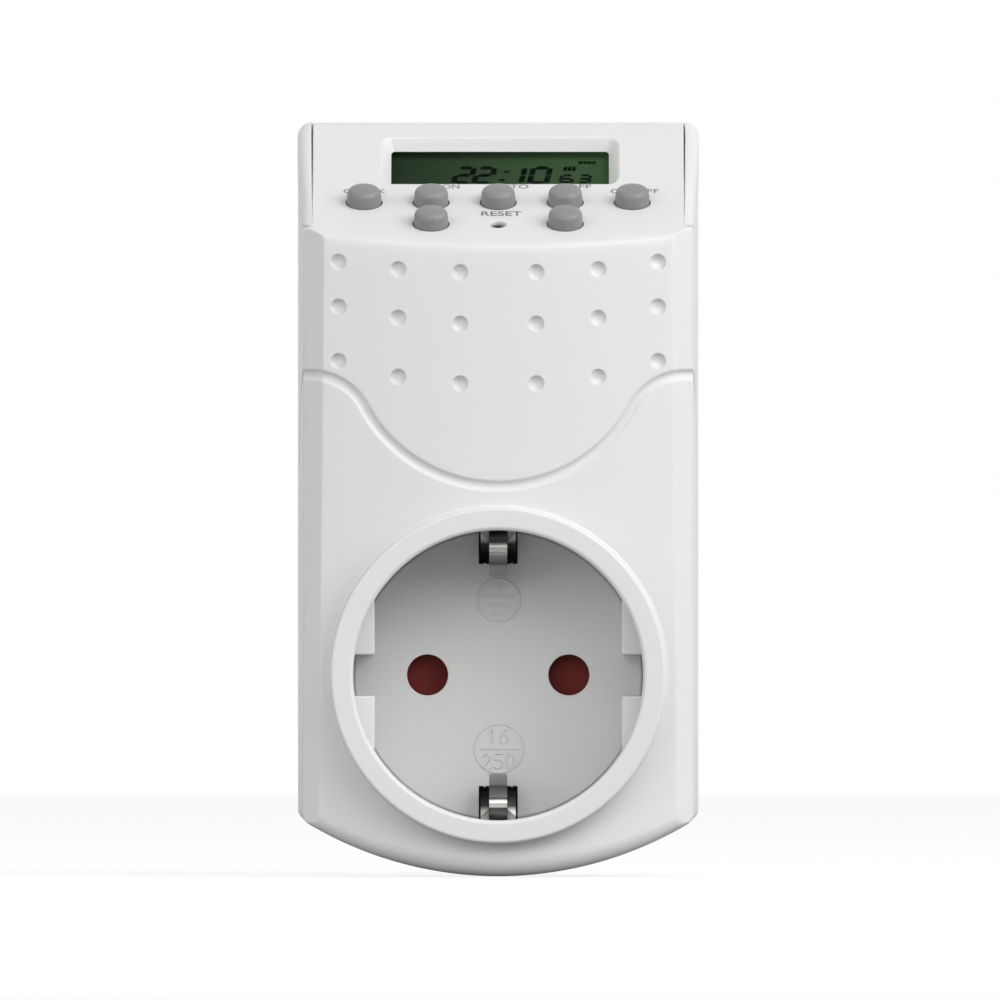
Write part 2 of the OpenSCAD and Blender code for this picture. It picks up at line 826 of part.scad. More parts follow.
function coil_path(r, turns, pitch, per_turn) =
    [for (i = [0:turns * per_turn]) let (a = 360 * i / per_turn)
        [r * cos(a), pitch * i / per_turn, r * sin(a)]];
function ring_at(p, dir, r, sides) =
    let (out = cross(dir, [0, 1, 0]) / norm(cross(dir, [0, 1, 0])), up = cross(out, dir) / norm(dir))
    [for (k = [0:sides - 1]) p + r * (cos(360 * k / sides) * out + sin(360 * k / sides) * up)];

// Round wire along a path, as one closed solid
module wire(path, r, sides) {
    n = len(path);
    points = [for (i = [0:n - 1])
        each ring_at(path[i], path[min(i + 1, n - 1)] - path[max(i - 1, 0)], r, sides)];
    walls = [for (i = [0:n - 2], k = [0:sides - 1])
        [i * sides + k, i * sides + (k + 1) % sides, (i + 1) * sides + (k + 1) % sides,
            (i + 1) * sides + k]];
    polyhedron(points, concat([[for (k = [sides - 1:-1:0]) k]], walls,
        [[for (k = [0:sides - 1]) (n - 1) * sides + k]]));
}

// Torsion spring around the shutter's pivot: one leg at a fixed boss, one at the rotor's peg
module shutter_spring() {
    coil = coil_path(2.3, 2.25, 0.42, 16);
    last = coil[len(coil) - 1];
    color("silver")
    translate([0, -34.75, 0])
        wire(concat([[6.4, 0, -0.6], [4.4, 0, -0.4]], coil, [last + [-2, 0, 1.5], last + [-4, 0, 3.5]]), 0.17, 8);
}

module shutter_cover() {
    color("white")
    difference() {
        forward(0, 0, cover_y[1]) cylinder(r = 14.4, h = cover_y[1] - cover_y[0]);
        for (side = [-1, 1]) {
            forward(side * pin_x, 0, 0) cylinder(r = 3, h = far);
            forward(side * boss_at[0], side * boss_at[1], 0) cylinder(r = 1, h = far);
        }
    }
}

module shutter_cover_screws() {
    color("silver")
    for (side = [-1, 1])
        forward(side * boss_at[0], side * boss_at[1], cover_y[1]) screw(1.7, 0.9, 0.8, 4.6);
}

front_cover();
rear_housing();
housing_screws();
display_window();
display_frame();
display_glass();
display_contact_strips();
key_clock();
key_on();
key_auto();
key_off();
key_on_off();
key_lower_left();
key_lower_right();
keypad_mat();
reset_switch();
reset_plunger();
control_board();
control_board_screws();
controller_chip();
crystal();
backup_cell();
cell_tabs();
ribbon_cable();
power_board();
power_board_screws();
relay_base();
relay_case();
relay_bobbin();
relay_winding();
relay_yoke();
relay_armature();
relay_moving_contact();
relay_fixed_contact();
dropper_capacitor();
smoothing_capacitor();
varistor();
bridge_rectifier();
fuse();
resistors();
relay_transistor();
live_pin();
neutral_pin();
live_strip();
neutral_strip();
load_strip();
live_contact();
neutral_contact();
socket_earth_bracket();
plug_earth_strap();
earth_post();
shutter_rotor();
shutter_spring();
shutter_cover();
shutter_cover_screws();
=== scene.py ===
import json
import math
import bpy
import bmesh
import numpy as np
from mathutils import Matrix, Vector
from mathutils.geometry import delaunay_2d_cdt


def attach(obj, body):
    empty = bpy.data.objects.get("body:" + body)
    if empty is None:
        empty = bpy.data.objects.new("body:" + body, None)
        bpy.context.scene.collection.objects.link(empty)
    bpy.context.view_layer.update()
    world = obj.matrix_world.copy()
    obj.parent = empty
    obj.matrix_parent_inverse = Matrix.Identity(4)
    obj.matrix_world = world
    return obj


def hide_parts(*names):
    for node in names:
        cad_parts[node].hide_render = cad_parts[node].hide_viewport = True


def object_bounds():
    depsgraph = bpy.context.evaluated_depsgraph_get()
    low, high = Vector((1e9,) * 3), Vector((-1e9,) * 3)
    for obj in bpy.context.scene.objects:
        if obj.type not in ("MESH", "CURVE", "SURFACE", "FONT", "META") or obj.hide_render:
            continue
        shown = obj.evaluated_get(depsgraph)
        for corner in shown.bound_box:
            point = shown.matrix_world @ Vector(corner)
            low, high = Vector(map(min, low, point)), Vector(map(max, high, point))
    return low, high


# Plug-in timer switch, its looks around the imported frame. The dictionaries are in
# millimetres: x is across, y runs back towards the wall, z is up.
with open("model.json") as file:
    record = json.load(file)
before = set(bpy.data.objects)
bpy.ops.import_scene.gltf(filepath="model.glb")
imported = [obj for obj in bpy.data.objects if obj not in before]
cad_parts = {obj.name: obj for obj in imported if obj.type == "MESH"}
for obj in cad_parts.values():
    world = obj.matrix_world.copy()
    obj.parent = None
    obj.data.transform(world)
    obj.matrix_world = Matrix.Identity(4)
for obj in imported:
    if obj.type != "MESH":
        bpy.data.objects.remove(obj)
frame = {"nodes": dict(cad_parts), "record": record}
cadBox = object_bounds()
mm = 0.001

# Studio: the view, the sky for ambient light and for mirroring, the floor and a ring of soft
# lamps. Each lamp has its azimuth and elevation in degrees and its power.
studio = {
    "lens": 1500.0, "sensor": 36.0, "frame": 134.3, "centre": (0.24, 23.5), "plane": -40.0,
    "skyBand": (0.25, 0.6), "skyLevel": 2.05, "mirrorBand": (-0.2, 0.95), "mirrorLow": 0.35,
    "floorSize": 1.5, "floorTone": 0.3, "floorSeen": 0.9, "floorGlow": 0.85,
    "lampTarget": (0, -0.04, 0.02), "lampAway": 1.3, "lampSize": 0.8,
    "lamps": ((55, 40, 5.6), (-50, 0, 5.2), (50, 20, 3.6), (50, 60, 2.7), (20, 35, 2.3), (80, 10, 2.1),
              (50, 0, 1.9), (-20, 5, 1.9), (-80, 40, 0.8)),
}


def makeObject(name, data):
    obj = bpy.data.objects.new(name, data)
    bpy.context.scene.collection.objects.link(obj)
    return obj


def setInputs(tree, node, values):
    # by the name or place of each input: a socket is linked, anything else is set
    for place, value in values.items():
        if isinstance(value, bpy.types.NodeSocket):
            tree.links.new(value, node.inputs[place])
        else:
            node.inputs[place].default_value = value


def addNode(tree, kind, values, **settings):
    node = tree.nodes.new("ShaderNode" + kind)
    for name, value in settings.items():
        setattr(node, name, value)
    setInputs(tree, node, values)
    return node


def mathNode(tree, operation, *values):
    return addNode(tree, "Math", dict(enumerate(values)), operation=operation).outputs[0]


def mixedColor(tree, share, first, second, blend="MIX"):
    values = {"Factor": share, 6: first, 7: second}
    return addNode(tree, "Mix", values, data_type="RGBA", blend_type=blend).outputs[2]


def coordinates(tree, kind="Object"):
    return tree.nodes.new("ShaderNodeTexCoord").outputs[kind]


def axesOf(tree, place):
    return addNode(tree, "SeparateXYZ", {0: place}).outputs


def newMaterial(name):
    material = bpy.data.materials.new(name)
    material.use_nodes = True
    return material, material.node_tree, material.node_tree.nodes["Principled BSDF"]


def showMixed(tree, share, first, second):
    # the surface is a mix of two shaders
    mix = addNode(tree, "MixShader", {0: share, 1: first.outputs[0], 2: second.outputs[0]})
    setInputs(tree, tree.nodes["Material Output"], {"Surface": mix.outputs[0]})


def makeCamera():
    data = bpy.data.cameras.new("camera")
    data.lens, data.sensor_width = studio["lens"], studio["sensor"]
    data.clip_start, data.clip_end = 1.0, 20.0
    away = studio["frame"] * studio["lens"] / studio["sensor"]
    camera = makeObject("camera", data)
    x, z = studio["centre"]
    camera.location = Vector((x, studio["plane"] - away, z)) * mm
    camera.rotation_euler = (math.pi / 2, 0, 0)
    bpy.context.scene.camera = camera


def makeWorld():
    world = bpy.data.worlds.new("studio")
    world.use_nodes = True
    bpy.context.scene.world = world
    tree = world.node_tree
    path = tree.nodes.new("ShaderNodeLightPath").outputs
    axes = axesOf(tree, coordinates(tree, "Generated"))
    low, high = studio["skyBand"]
    band = mathNode(tree, "MULTIPLY", mathNode(tree, "GREATER_THAN", axes["Z"], low),
                    mathNode(tree, "LESS_THAN", axes["Z"], high))
    ambient = mathNode(tree, "MULTIPLY", band, studio["skyLevel"])
    low, high = studio["mirrorBand"]
    values = {"Value": axes["Z"], "From Min": low, "From Max": high,
              "To Min": studio["mirrorLow"], "To Max": 1.0}
    rising = addNode(tree, "MapRange", values, interpolation_type="SMOOTHSTEP").outputs[0]
    extra = mathNode(tree, "SUBTRACT", mathNode(tree, "MAXIMUM", rising, axes["Y"]), ambient)
    level = mathNode(tree, "MULTIPLY_ADD", extra, path["Is Glossy Ray"], ambient)
    clear = mathNode(tree, "MAXIMUM", path["Is Camera Ray"], path["Is Transmission Ray"])
    setInputs(tree, tree.nodes["Background"],
              {"Color": (1, 1, 1, 1), "Strength": mathNode(tree, "MAXIMUM", level, clear)})


def makeFloor():
    size, low = studio["floorSize"], cadBox[0].z
    mesh = bpy.data.meshes.new("floor")
    mesh.from_pydata([(x * size, y * size, low) for x, y in ((-1, -1), (1, -1), (1, 1), (-1, 1))],
                     [], [(0, 1, 2, 3)])
    material, tree, shader = newMaterial("paleFloor")
    seen = tree.nodes.new("ShaderNodeLightPath").outputs["Is Camera Ray"]
    tones = [(*[studio[tone]] * 3, 1) for tone in ("floorTone", "floorSeen")]
    setInputs(tree, shader, {"Base Color": mixedColor(tree, seen, *tones), "Roughness": 0.8,
                             "Specular IOR Level": 0.1})
    glow = tree.nodes.new("ShaderNodeEmission")
    showMixed(tree, mathNode(tree, "MULTIPLY", seen, studio["floorGlow"]), shader, glow)
    mesh.materials.append(material)
    makeObject("floor", mesh)


def makeLamps():
    for i, (azimuth, elevation, power) in enumerate(studio["lamps"]):
        a, e = math.radians(azimuth), math.radians(elevation)
        way = Vector((math.sin(a) * math.cos(e), -math.cos(a) * math.cos(e), math.sin(e)))
        data = bpy.data.lights.new(f"softLamp{i}", "AREA")
        data.shape, data.size, data.energy = "DISK", studio["lampSize"], power
        lamp = makeObject(f"softLamp{i}", data)
        lamp.location = Vector(studio["lampTarget"]) + way * studio["lampAway"]
        lamp.rotation_euler = (-way).to_track_quat("-Z", "Y").to_euler()


makeCamera()
makeWorld()
makeFloor()
makeLamps()
print("studio is ready")


# Materials: shared effects are node groups, and each finish places them with its own values

def nodeGroup(name, inputs, outputs):
    tree = bpy.data.node_groups.new(name, "ShaderNodeTree")
    for label, value in inputs.items():
        kind = "NodeSocketFloat"
        if isinstance(value, tuple):
            kind = "NodeSocketColor" if len(value) == 4 else "NodeSocketVector"
        tree.interface.new_socket(name=label, in_out="INPUT", socket_type=kind).default_value = value
    for label in outputs:
        kind = "NodeSocketColor" if label == "Color" else "NodeSocketFloat"
        tree.interface.new_socket(name=label, in_out="OUTPUT", socket_type=kind)
    start, end = tree.nodes.new("NodeGroupInput"), tree.nodes.new("NodeGroupOutput")
    return tree, start.outputs, end, coordinates(tree)


def noiseNode(tree, place, scale, detail=2.0):
    return addNode(tree, "TexNoise", {"Vector": place, "Scale": scale, "Detail": detail}).outputs["Fac"]


def scaledColor(tree, color, amount):
    return addNode(tree, "VectorMath", {0: color, "Scale": amount}, operation="SCALE").outputs[0]


def makeMouldedGrain():
    # fine uneven tone, gloss and height of moulded plastic or rubber
    tree, start, end, place = nodeGroup(
        "mouldedGrain",
        {"Color": (0.8, 0.8, 0.8, 1), "Variation": 0.03, "Grain Scale": 900.0, "Roughness": 0.4},
        ("Color", "Roughness", "Height"))
    fine = noiseNode(tree, place, start["Grain Scale"], 3)
    wide = noiseNode(tree, place, 60.0)
    level = mathNode(tree, "SUBTRACT", mathNode(tree, "ADD", fine, wide), 1.0)
    tone = mathNode(tree, "MULTIPLY_ADD", level, start["Variation"], 1.0)
    gloss = mathNode(tree, "MULTIPLY_ADD", level, 0.12, start["Roughness"])
    setInputs(tree, end, {"Color": scaledColor(tree, start["Color"], tone), "Roughness": gloss,
                          "Height": fine})
    return tree


def makeRolledMetal():
    # streaks and faint stains of rolled or drawn metal; Stretch squeezes the streaks along an axis
    tree, start, end, place = nodeGroup(
        "rolledMetal",
        {"Color": (0.6, 0.6, 0.6, 1), "Stretch": (1.0, 1.0, 8.0), "Scale": 500.0, "Roughness": 0.3},
        ("Color", "Roughness", "Height"))
    squeeze = addNode(tree, "VectorMath", {0: place, 1: start["Stretch"]}, operation="MULTIPLY")
    streaks = noiseNode(tree, squeeze.outputs[0], start["Scale"], 3)
    stains = noiseNode(tree, place, 140.0)
    tone = mathNode(tree, "MULTIPLY_ADD", mathNode(tree, "MULTIPLY", streaks, stains), 0.5, 0.85)
    off = mathNode(tree, "MULTIPLY_ADD", streaks, 0.25, -0.12)
    setInputs(tree, end, {"Color": scaledColor(tree, start["Color"], tone),
                          "Roughness": mathNode(tree, "ADD", off, start["Roughness"]), "Height": streaks})
    return tree


def makeRoundedRows():
    # ridges side by side, as the turns of a winding or the wires of a flat cable
    tree, start, end, place = nodeGroup(
        "roundedRows", {"Color": (0.5, 0.5, 0.5, 1), "Groove Color": (0.1, 0.1, 0.1, 1), "Scale": 1500.0,
                        "Direction": (1.0, 0.0, 0.0)}, ("Color", "Height"))
    along = addNode(tree, "VectorMath", {0: place, 1: start["Direction"]}, operation="DOT_PRODUCT")
    turn = mathNode(tree, "MULTIPLY", along.outputs["Value"], start["Scale"])
    ridge = mathNode(tree, "ABSOLUTE", mathNode(tree, "SINE", turn))
    setInputs(tree, end, {"Color": mixedColor(tree, ridge, start["Groove Color"], start["Color"]),
                          "Height": ridge})
    return tree


def makeBoardTraces():
    # copper tracks under solder mask, with tinned pads
    tree, start, end, place = nodeGroup(
        "boardTraces",
        {"Mask Color": (0.03, 0.16, 0.07, 1), "Pad Color": (0.55, 0.55, 0.52, 1), "Scale": 420.0},
        ("Color", "Roughness", "Height"))
    cells = {"Vector": place, "Scale": start["Scale"]}
    bricks = addNode(tree, "TexVoronoi", cells, distance="MANHATTAN", feature="DISTANCE_TO_EDGE")
    dots = addNode(tree, "TexVoronoi", cells)
    track = mathNode(tree, "GREATER_THAN", bricks.outputs["Distance"], 0.12)
    pad = mathNode(tree, "LESS_THAN", dots.outputs["Distance"], 0.16)
    lit = scaledColor(tree, start["Mask Color"], mathNode(tree, "MULTIPLY_ADD", track, 0.7, 0.8))
    setInputs(tree, end, {"Color": mixedColor(tree, pad, lit, start["Pad Color"]),
                          "Roughness": mathNode(tree, "MULTIPLY_ADD", pad, -0.15, 0.42),
                          "Height": mathNode(tree, "ADD", track, pad)})
    return tree


groups = {"moulded": makeMouldedGrain(), "metal": makeRolledMetal(), "rows": makeRoundedRows(),
          "board": makeBoardTraces()}


def makeMaterial(name, group, values, bump, **sockets):
    # one Principled shader fed by a group; sockets are set on the shader itself
    material, tree, shader = newMaterial(name)
    node = addNode(tree, "Group", {}, node_tree=groups[group])
    setInputs(tree, node, {label: (*value, 1) if "Color" in label else value
                           for label, value in values.items()})
    raised = addNode(tree, "Bump", {"Distance": bump * mm, "Strength": 0.6, "Height": node.outputs["Height"]})
    setInputs(tree, shader, {"Base Color": node.outputs["Color"], "Normal": raised.outputs["Normal"]})
    if "Roughness" in node.outputs:
        setInputs(tree, shader, {"Roughness": node.outputs["Roughness"]})
    setInputs(tree, shader, {label.replace("_", " "): value for label, value in sockets.items()})
    return material


def plastic(name, color, roughness=0.4, grain=900.0, variation=0.05, bump=0.008, **sockets):
    values = {"Color": color, "Roughness": roughness, "Grain Scale": grain, "Variation": variation}
    return makeMaterial(name, "moulded", values, bump, **sockets)


def metal(name, color, roughness=0.3, stretch=(1.0, 1.0, 8.0), bump=0.004):
    values = {"Color": color, "Roughness": roughness, "Stretch": stretch}
    return makeMaterial(name, "metal", values, bump, Metallic=1.0)


def clearWindow():
    # thin clear sheet: the light passes straight through, and a little is mirrored
    material, tree, shine = newMaterial("clearWindow")
    haze = noiseNode(tree, coordinates(tree), 200.0)
    tintAndPaintedLight = mixedColor(tree, haze, (0.94, 0.95, 0.95, 1), (0.97, 0.98, 0.98, 1))
    setInputs(tree, shine, {"Roughness": mathNode(tree, "MULTIPLY_ADD", haze, 0.06, 0.04),
                            "Base Color": (0.9, 0.9, 0.9, 1), "Metallic": 1.0})
    edge = addNode(tree, "Fresnel", {"IOR": 1.02})
    showMixed(tree, edge.outputs[0], addNode(tree, "BsdfTransparent", {"Color": tintAndPaintedLight}), shine)
    return material


def displayGreen():
    # the crystal sheet carries painted shade, darker towards its left end, and a painted glow from its
    # emission, with faint level streaks
    material = plastic("displayGreen", (0.03, 0.05, 0.025), roughness=0.5, variation=0.25, bump=0.001,
                       Specular_IOR_Level=0.0, Emission_Strength=0.45)
    tree = material.node_tree
    shader = tree.nodes["Principled BSDF"]
    across = mathNode(tree, "MULTIPLY_ADD", axesOf(tree, coordinates(tree))["X"], 30.0, 0.5)
    paintedLightTone = mixedColor(tree, across, (0.006, 0.012, 0.006, 1), (0.036, 0.066, 0.03, 1))
    grain = shader.inputs["Base Color"].links[0].from_socket
    # the painted shade tone is both the base colour and the colour of the painted glow
    setInputs(tree, shader, {"Base Color": mixedColor(tree, 0.2, paintedLightTone, grain), "Emission Color": paintedLightTone})
    return material


def banded(material, low, high, stops, shadedWithin=None, shade=(0.012, 0.012, 0.012, 1)):
    # painted light and shade: multiplies the finish by a level that changes with the distance from the
    # socket's middle, and paints a dark shade on the part nearer the middle than shadedWithin across
    tree = material.node_tree
    shader = tree.nodes["Principled BSDF"]
    axes = axesOf(tree, coordinates(tree))
    share = addNode(tree, "MapRange", {"Value": mathNode(tree, "ABSOLUTE", axes["Z"]),
                                       "From Min": low * mm, "From Max": high * mm})
    ramp = addNode(tree, "ValToRGB", {0: share.outputs[0]})
    elements = ramp.color_ramp.elements
    while len(elements) < len(stops):
        elements.new(0.5)
    for element, (at, level) in zip(elements, stops):
        element.position = (at - low) / (high - low)
        element.color = (level, level, level * 0.98, 1)
    tintAndPaintedLight = ramp.outputs[0]
    if shadedWithin:
        side = mathNode(tree, "GREATER_THAN", mathNode(tree, "ABSOLUTE", axes["X"]), shadedWithin * mm)
        tintAndPaintedLight = mixedColor(tree, side, shade, tintAndPaintedLight)
    finish = shader.inputs["Base Color"].links[0].from_socket
    setInputs(tree, shader, {"Base Color": mixedColor(tree, 1.0, finish, tintAndPaintedLight, "MULTIPLY")})
    return material


evenly = (1.0, 1.0, 1.0)
materials = {
    "housing_white": plastic("housingWhite", (0.585, 0.585, 0.582), 0.4, 1100.0, 0.012, 0.005,
                             Specular_IOR_Level=0.4),
    "window_clear": clearWindow(),
    "display_frame": plastic("frameIvory", (0.6, 0.6, 0.56)),
    "display_green": displayGreen(),
    "contact_rubber": plastic("contactRubber", (0.09, 0.09, 0.09), 0.7),
    "key_grey": plastic("keyGrey", (0.178, 0.178, 0.178), 0.45, 1600.0, 0.04, 0.006),
    "mat_grey": plastic("matGrey", (0.2, 0.2, 0.2), 0.65),
    "part_black": plastic("partBlack", (0.02, 0.02, 0.02), 0.45),
    "plunger_white": plastic("plungerWhite", (0.6, 0.6, 0.58)),
    "board_green": makeMaterial("boardGreen", "board", {}, 0.02),
    "screw_steel": metal("screwZinc", (0.55, 0.56, 0.57), 0.32, (1.0, 6.0, 1.0)),
    "steel": metal("plainSteel", (0.46, 0.46, 0.46), 0.4),
    "nickel": metal("nickelPlate", (0.5, 0.5, 0.49), 0.2, evenly, 0.0006),
    "brass": metal("rolledBrass", (0.72, 0.5, 0.2), 0.3),
    "copper": makeMaterial("enamelledWire", "rows", {
        "Color": (0.6, 0.2, 0.07), "Groove Color": (0.14, 0.04, 0.02), "Scale": 12000.0}, 0.08,
        Roughness=0.3),
    "relay_blue": plastic("relayBlue", (0.03, 0.12, 0.42), 0.3, 500.0),
    "relay_dark": plastic("relayDark", (0.05, 0.05, 0.055), 0.5),
    "film_yellow": plastic("dippedYellow", (0.72, 0.48, 0.08), 0.35, 400.0),
    "can_blue": plastic("canSleeve", (0.02, 0.03, 0.12), 0.3, 600.0),
    "disc_blue": plastic("dippedBlue", (0.03, 0.15, 0.4), 0.35, 400.0),
    "body_tan": makeMaterial("bandedBody", "rows", {
        "Color": (0.62, 0.44, 0.25), "Groove Color": (0.28, 0.12, 0.05), "Scale": 1900.0,
        "Direction": (0.5, 0.0, 1.0)}, 0.03, Roughness=0.4),
    "cable_grey": makeMaterial("ribbonCable", "rows", {
        "Color": (0.5, 0.5, 0.5), "Groove Color": (0.2, 0.2, 0.2), "Scale": 2500.0}, 0.2, Roughness=0.5),
    "cell_steel": metal("cellSteel", (0.6, 0.6, 0.6), 0.2, evenly),
    "shutter_red": plastic("shutterRed", (0.125, 0.016, 0.014), 0.5, 1200.0, 0.1, Specular_IOR_Level=0.12),
    # painted light on the earth clips: the wings get painted shade that lightens towards their tops and a
    # painted shadow on the middle, and the tongue a painted highlight band between painted shade
    "shaded": banded(metal("shadedStrip", (0.9, 0.9, 0.88), 0.4, evenly, 0.0006), 16, 20,
                     ((16.2, 0.01), (17.6, 0.05), (18.3, 0.5), (19.4, 0.7)), 1.22),
    "paintedLitTongue": banded(metal("tonguePaintedLight", (0.95, 0.94, 0.92), 0.2, evenly, 0.0006), 13, 18,
                     ((13.4, 0.4), (14.6, 0.32), (14.9, 0.08), (16.0, 0.3), (16.7, 0.9), (17.5, 1.0),
                      (17.9, 0.3))),
    "segment": plastic("liquidSegment", (0.003, 0.006, 0.004), 0.6, 1500.0, 0.1, Specular_IOR_Level=0.0),
    "printed": plastic("printedInk", (0.1, 0.1, 0.1), 0.5, 1500.0, 0.1),
}
print("materials are ready")

slots = {part["node"]: part["material_slot"] for part in frame["record"]["subparts"]}


def finished(obj, body, look, *nodes):
    # gives a piece its finish, the body it rides on and the CAD nodes it stands for
    obj.data.materials.clear()
    obj.data.materials.append(materials[look])
    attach(obj, body)
    if nodes:
        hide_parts(*nodes)


# The two housing mouldings share these sizes
housing = {
    "halfWidth": 27.0, "sideDraft": 0.85, "back": -17.0, "bevelEdge": -48.95,
    "top": 74.4, "panelTop": -18.8, "panelTilt": math.radians(25), "panelThickness": 1.8,
    "front": -54.3, "frontRadius": 94.5, "frontLean": math.radians(0.4),
    "bottomRadius": 49.87, "bottomCentre": 22.95, "bottomRounding": 2.5,
    "cornerRadius": 1.5, "cornerLevel": -20.7,
    "seam": -25.1, "seamTop": 44.0, "tip": 60.3, "tipDepth": -45.65, "stretchFrom": 58.0,
    "panelFillet": 0.95, "bevelFillet": 0.1, "earRounding": 1.45, "earInside": 25.17, "earCorner": 1.93,
    "wallInside": 1.2, "panelGap": 0.13, "panelRounding": 0.22,
    "earHeight": 14, "earLean": (0.22, 12), "cheekGap": (0.005, 0.18, 0.9), "tipBlend": (0.2, 1.5),
    "filletFade": (0.45, 21.8, 1.9), "sideRounding": (0.9, 26), "edgeReach": 2.4, "edgeInset": 0.98,
}
frontHalf = housing["halfWidth"] - housing["sideDraft"]
# softEnd takes away what a soft rim leaves beyond it
groove = {"level": 40.3, "halfWidth": 0.72, "depth": 0.43, "flatness": 2.3, "soft": 0.06, "softEnd": 0.0018,
          "deeper": (0.41, 23.6, 0.8),
          "shoulder": (25.1, 32.25, 8.05), "hollow": (0.0, 45.85, 20.497), "side": (-48.95, 10.3, 30.0)}
dimples = {"columns": {5.1: (54.0, 47.1, 39.1), 13.4: (54.4, 47.9, 40.0), 21.4: (55.4, 49.4, 42.1)},
           "radius": 1.1, "depth": 0.72, "flatness": 3.0, "reach": 1.5, "soft": 0.02, "softEnd": 0.0001,
           "rings": (0.3, 0.6, 0.85, 0.98, 1.05, 1.09, 1.13, 1.2, 1.4)}
keys = {"pitch": 9.0, "upperRow": 25.9, "lowerRow": 32.8, "hole": 2.46, "edge": 0.08,
        "places": {"clock": (-2, "upperRow"), "on": (-1, "upperRow"), "auto": (0, "upperRow"),
                   "off": (1, "upperRow"), "on_off": (2, "upperRow"),
                   "lower_left": (-1, "lowerRow"), "lower_right": (1, "lowerRow")}}
resetHole = {"at": 32.9, "radius": 1.12, "edge": 0.12, "depth": 0.95, "cavity": 2.2, "lip": 0.28}
window = {"x": 0.25, "half": 15.95, "from": 4.9, "to": 19.85, "corner": (1.4, 2.8), "innerCorner": (0.5, 1.0),
          "taper": 1.3, "taperEnds": 0.7, "edge": 0.2}
socket = {
    "recess": 19.42, "floor": -39.5, "rim": -57.0, "collar": 22.5, "outerRounding": 0.45,
    "innerRounding": 0.6, "floorRounding": 0.35, "cove": 0.5, "slotHalf": 2.62,
    "slotIn": 14.9, "slotOut": 20.8,
    "slotFront": -52.2, "nub": (1.66, 1.84, 2.02), "nubRise": 0.22, "pinX": 9.5, "pinHole": 2.75,
    "pinEdge": 0.14, "floorThickness": 2.5, "padX": 16.55, "padGap": 2.75, "padTop": -53.0, "padEdge": 0.28,
}
keyCentres = {key: (step * keys["pitch"], keys[row]) for key, (step, row) in keys["places"].items()}
forwards, backwards = np.array([0.0, -1.0, 0.0]), np.array([0.0, 1.0, 0.0])


def softMax(a, b, width):
    return (a + b + np.sqrt((a - b) ** 2 + width ** 2)) / 2


def smoothStep(t):
    t = np.clip(t, 0, 1)
    return t * t * (3 - 2 * t)


def pointsOf(*axes):
    return np.stack(np.broadcast_arrays(*axes), axis=-1)


def quarterTurn(count):
    return np.linspace(0, math.pi / 2, count)


def fullTurn(count):
    return np.linspace(0, 2 * math.pi, count, endpoint=False)


def circle(cx, cy, r, n, start=0.0):
    turn = start + np.arange(n) * 2 * math.pi / n
    return pointsOf(cx + r * np.cos(turn), cy + r * np.sin(turn))


def ringAt(r, y, theta):
    return pointsOf(r * np.cos(theta), y, r * np.sin(theta))


def panelPoint(x, s, h=0.0):
    # s runs down the slope from the top edge, h stands up from the panel
    tilt = housing["panelTilt"]
    x, s, h = np.broadcast_arrays(np.asarray(x, float), s, h)
    y = housing["panelTop"] - s * math.cos(tilt) - h * math.sin(tilt)
    z = housing["top"] - s * math.sin(tilt) + h * math.cos(tilt)
    return pointsOf(x, y, z)


panelUp = panelPoint(0, 0, 1) - panelPoint(0, 0, 0)


def halfWidthAt(y):
    share = (housing["back"] - y) / (housing["back"] - housing["bevelEdge"])
    return housing["halfWidth"] - housing["sideDraft"] * share


def slopeDepth(z):
    return housing["panelTop"] + (z - housing["top"]) / math.tan(housing["panelTilt"])


def earBow(inset, r=housing["earRounding"]):
    # how far a rounded edge falls away, at a distance in from the edge
    return r - np.sqrt(r * r - np.clip(r - inset, 0, r) ** 2)


def earInsideAt(z):
    # inner wall of an ear: it leans out a little towards the top
    lean, rise = housing["earLean"]
    return housing["earInside"] - lean * (1 - np.clip((z - housing["tip"]) / rise, 0, 1))


def faceDepth(x, z):
    r = housing["frontRadius"]
    return housing["front"] - z * math.tan(housing["frontLean"]) + r - np.sqrt(r * r - x * x)


def bevelDepth(x):
    return housing["bevelEdge"] - (frontHalf - np.abs(x))


def underSlope(x, z, slope):
    # depth of the face and its bevels, blended with a given depth of the slope
    h = housing
    less, side = h["sideRounding"]
    rounding = h["bottomRounding"] - less * (x / side) ** 2
    reach = np.clip(np.hypot(x, z - h["bottomCentre"]) - h["bottomRadius"] + rounding, 0, rounding)
    reach = np.where(z < 0, reach, 0)
    face = faceDepth(x, z) + rounding - np.sqrt(rounding ** 2 - reach ** 2)
    fade, start, width = h["filletFade"]
    fillet = h["panelFillet"] * (1 - fade * smoothStep((np.abs(x) - start) / width))
    return softMax(softMax(face, slope, fillet), bevelDepth(x), h["bevelFillet"])


def grooveDistance(x, z):
    x = np.abs(x)
    sx, sz, sr = groove["shoulder"]
    hx, hz, hr = groove["hollow"]
    shoulder = np.where(x > sx, np.abs(z - groove["level"]), np.abs(np.hypot(x - sx, z - sz) - sr))
    hollow = np.abs(np.hypot(x - hx, z - hz) - hr)
    above = (sx - hx) * (z - hz) - (sz - hz) * (x - hx) > 0
    return np.where(above, shoulder, hollow)


def grooveDepth(distance):
    share = np.abs(distance) / groove["halfWidth"]
    return softMax(groove["depth"] * (1 - share ** groove["flatness"]), 0, groove["soft"]) - groove["softEnd"]


def dimpleDepth(x, z):
    depth = np.zeros(np.shape(x))
    for column, rows in dimples["columns"].items():
        for row in rows:
            away = np.hypot(np.abs(x) - column, z - row)
            bowl = dimples["depth"] * (1 - (away / dimples["radius"]) ** dimples["flatness"])
            bowl = softMax(bowl, 0, dimples["soft"]) - dimples["softEnd"]
            depth = depth + np.where(away < dimples["reach"], bowl, 0)
    return depth


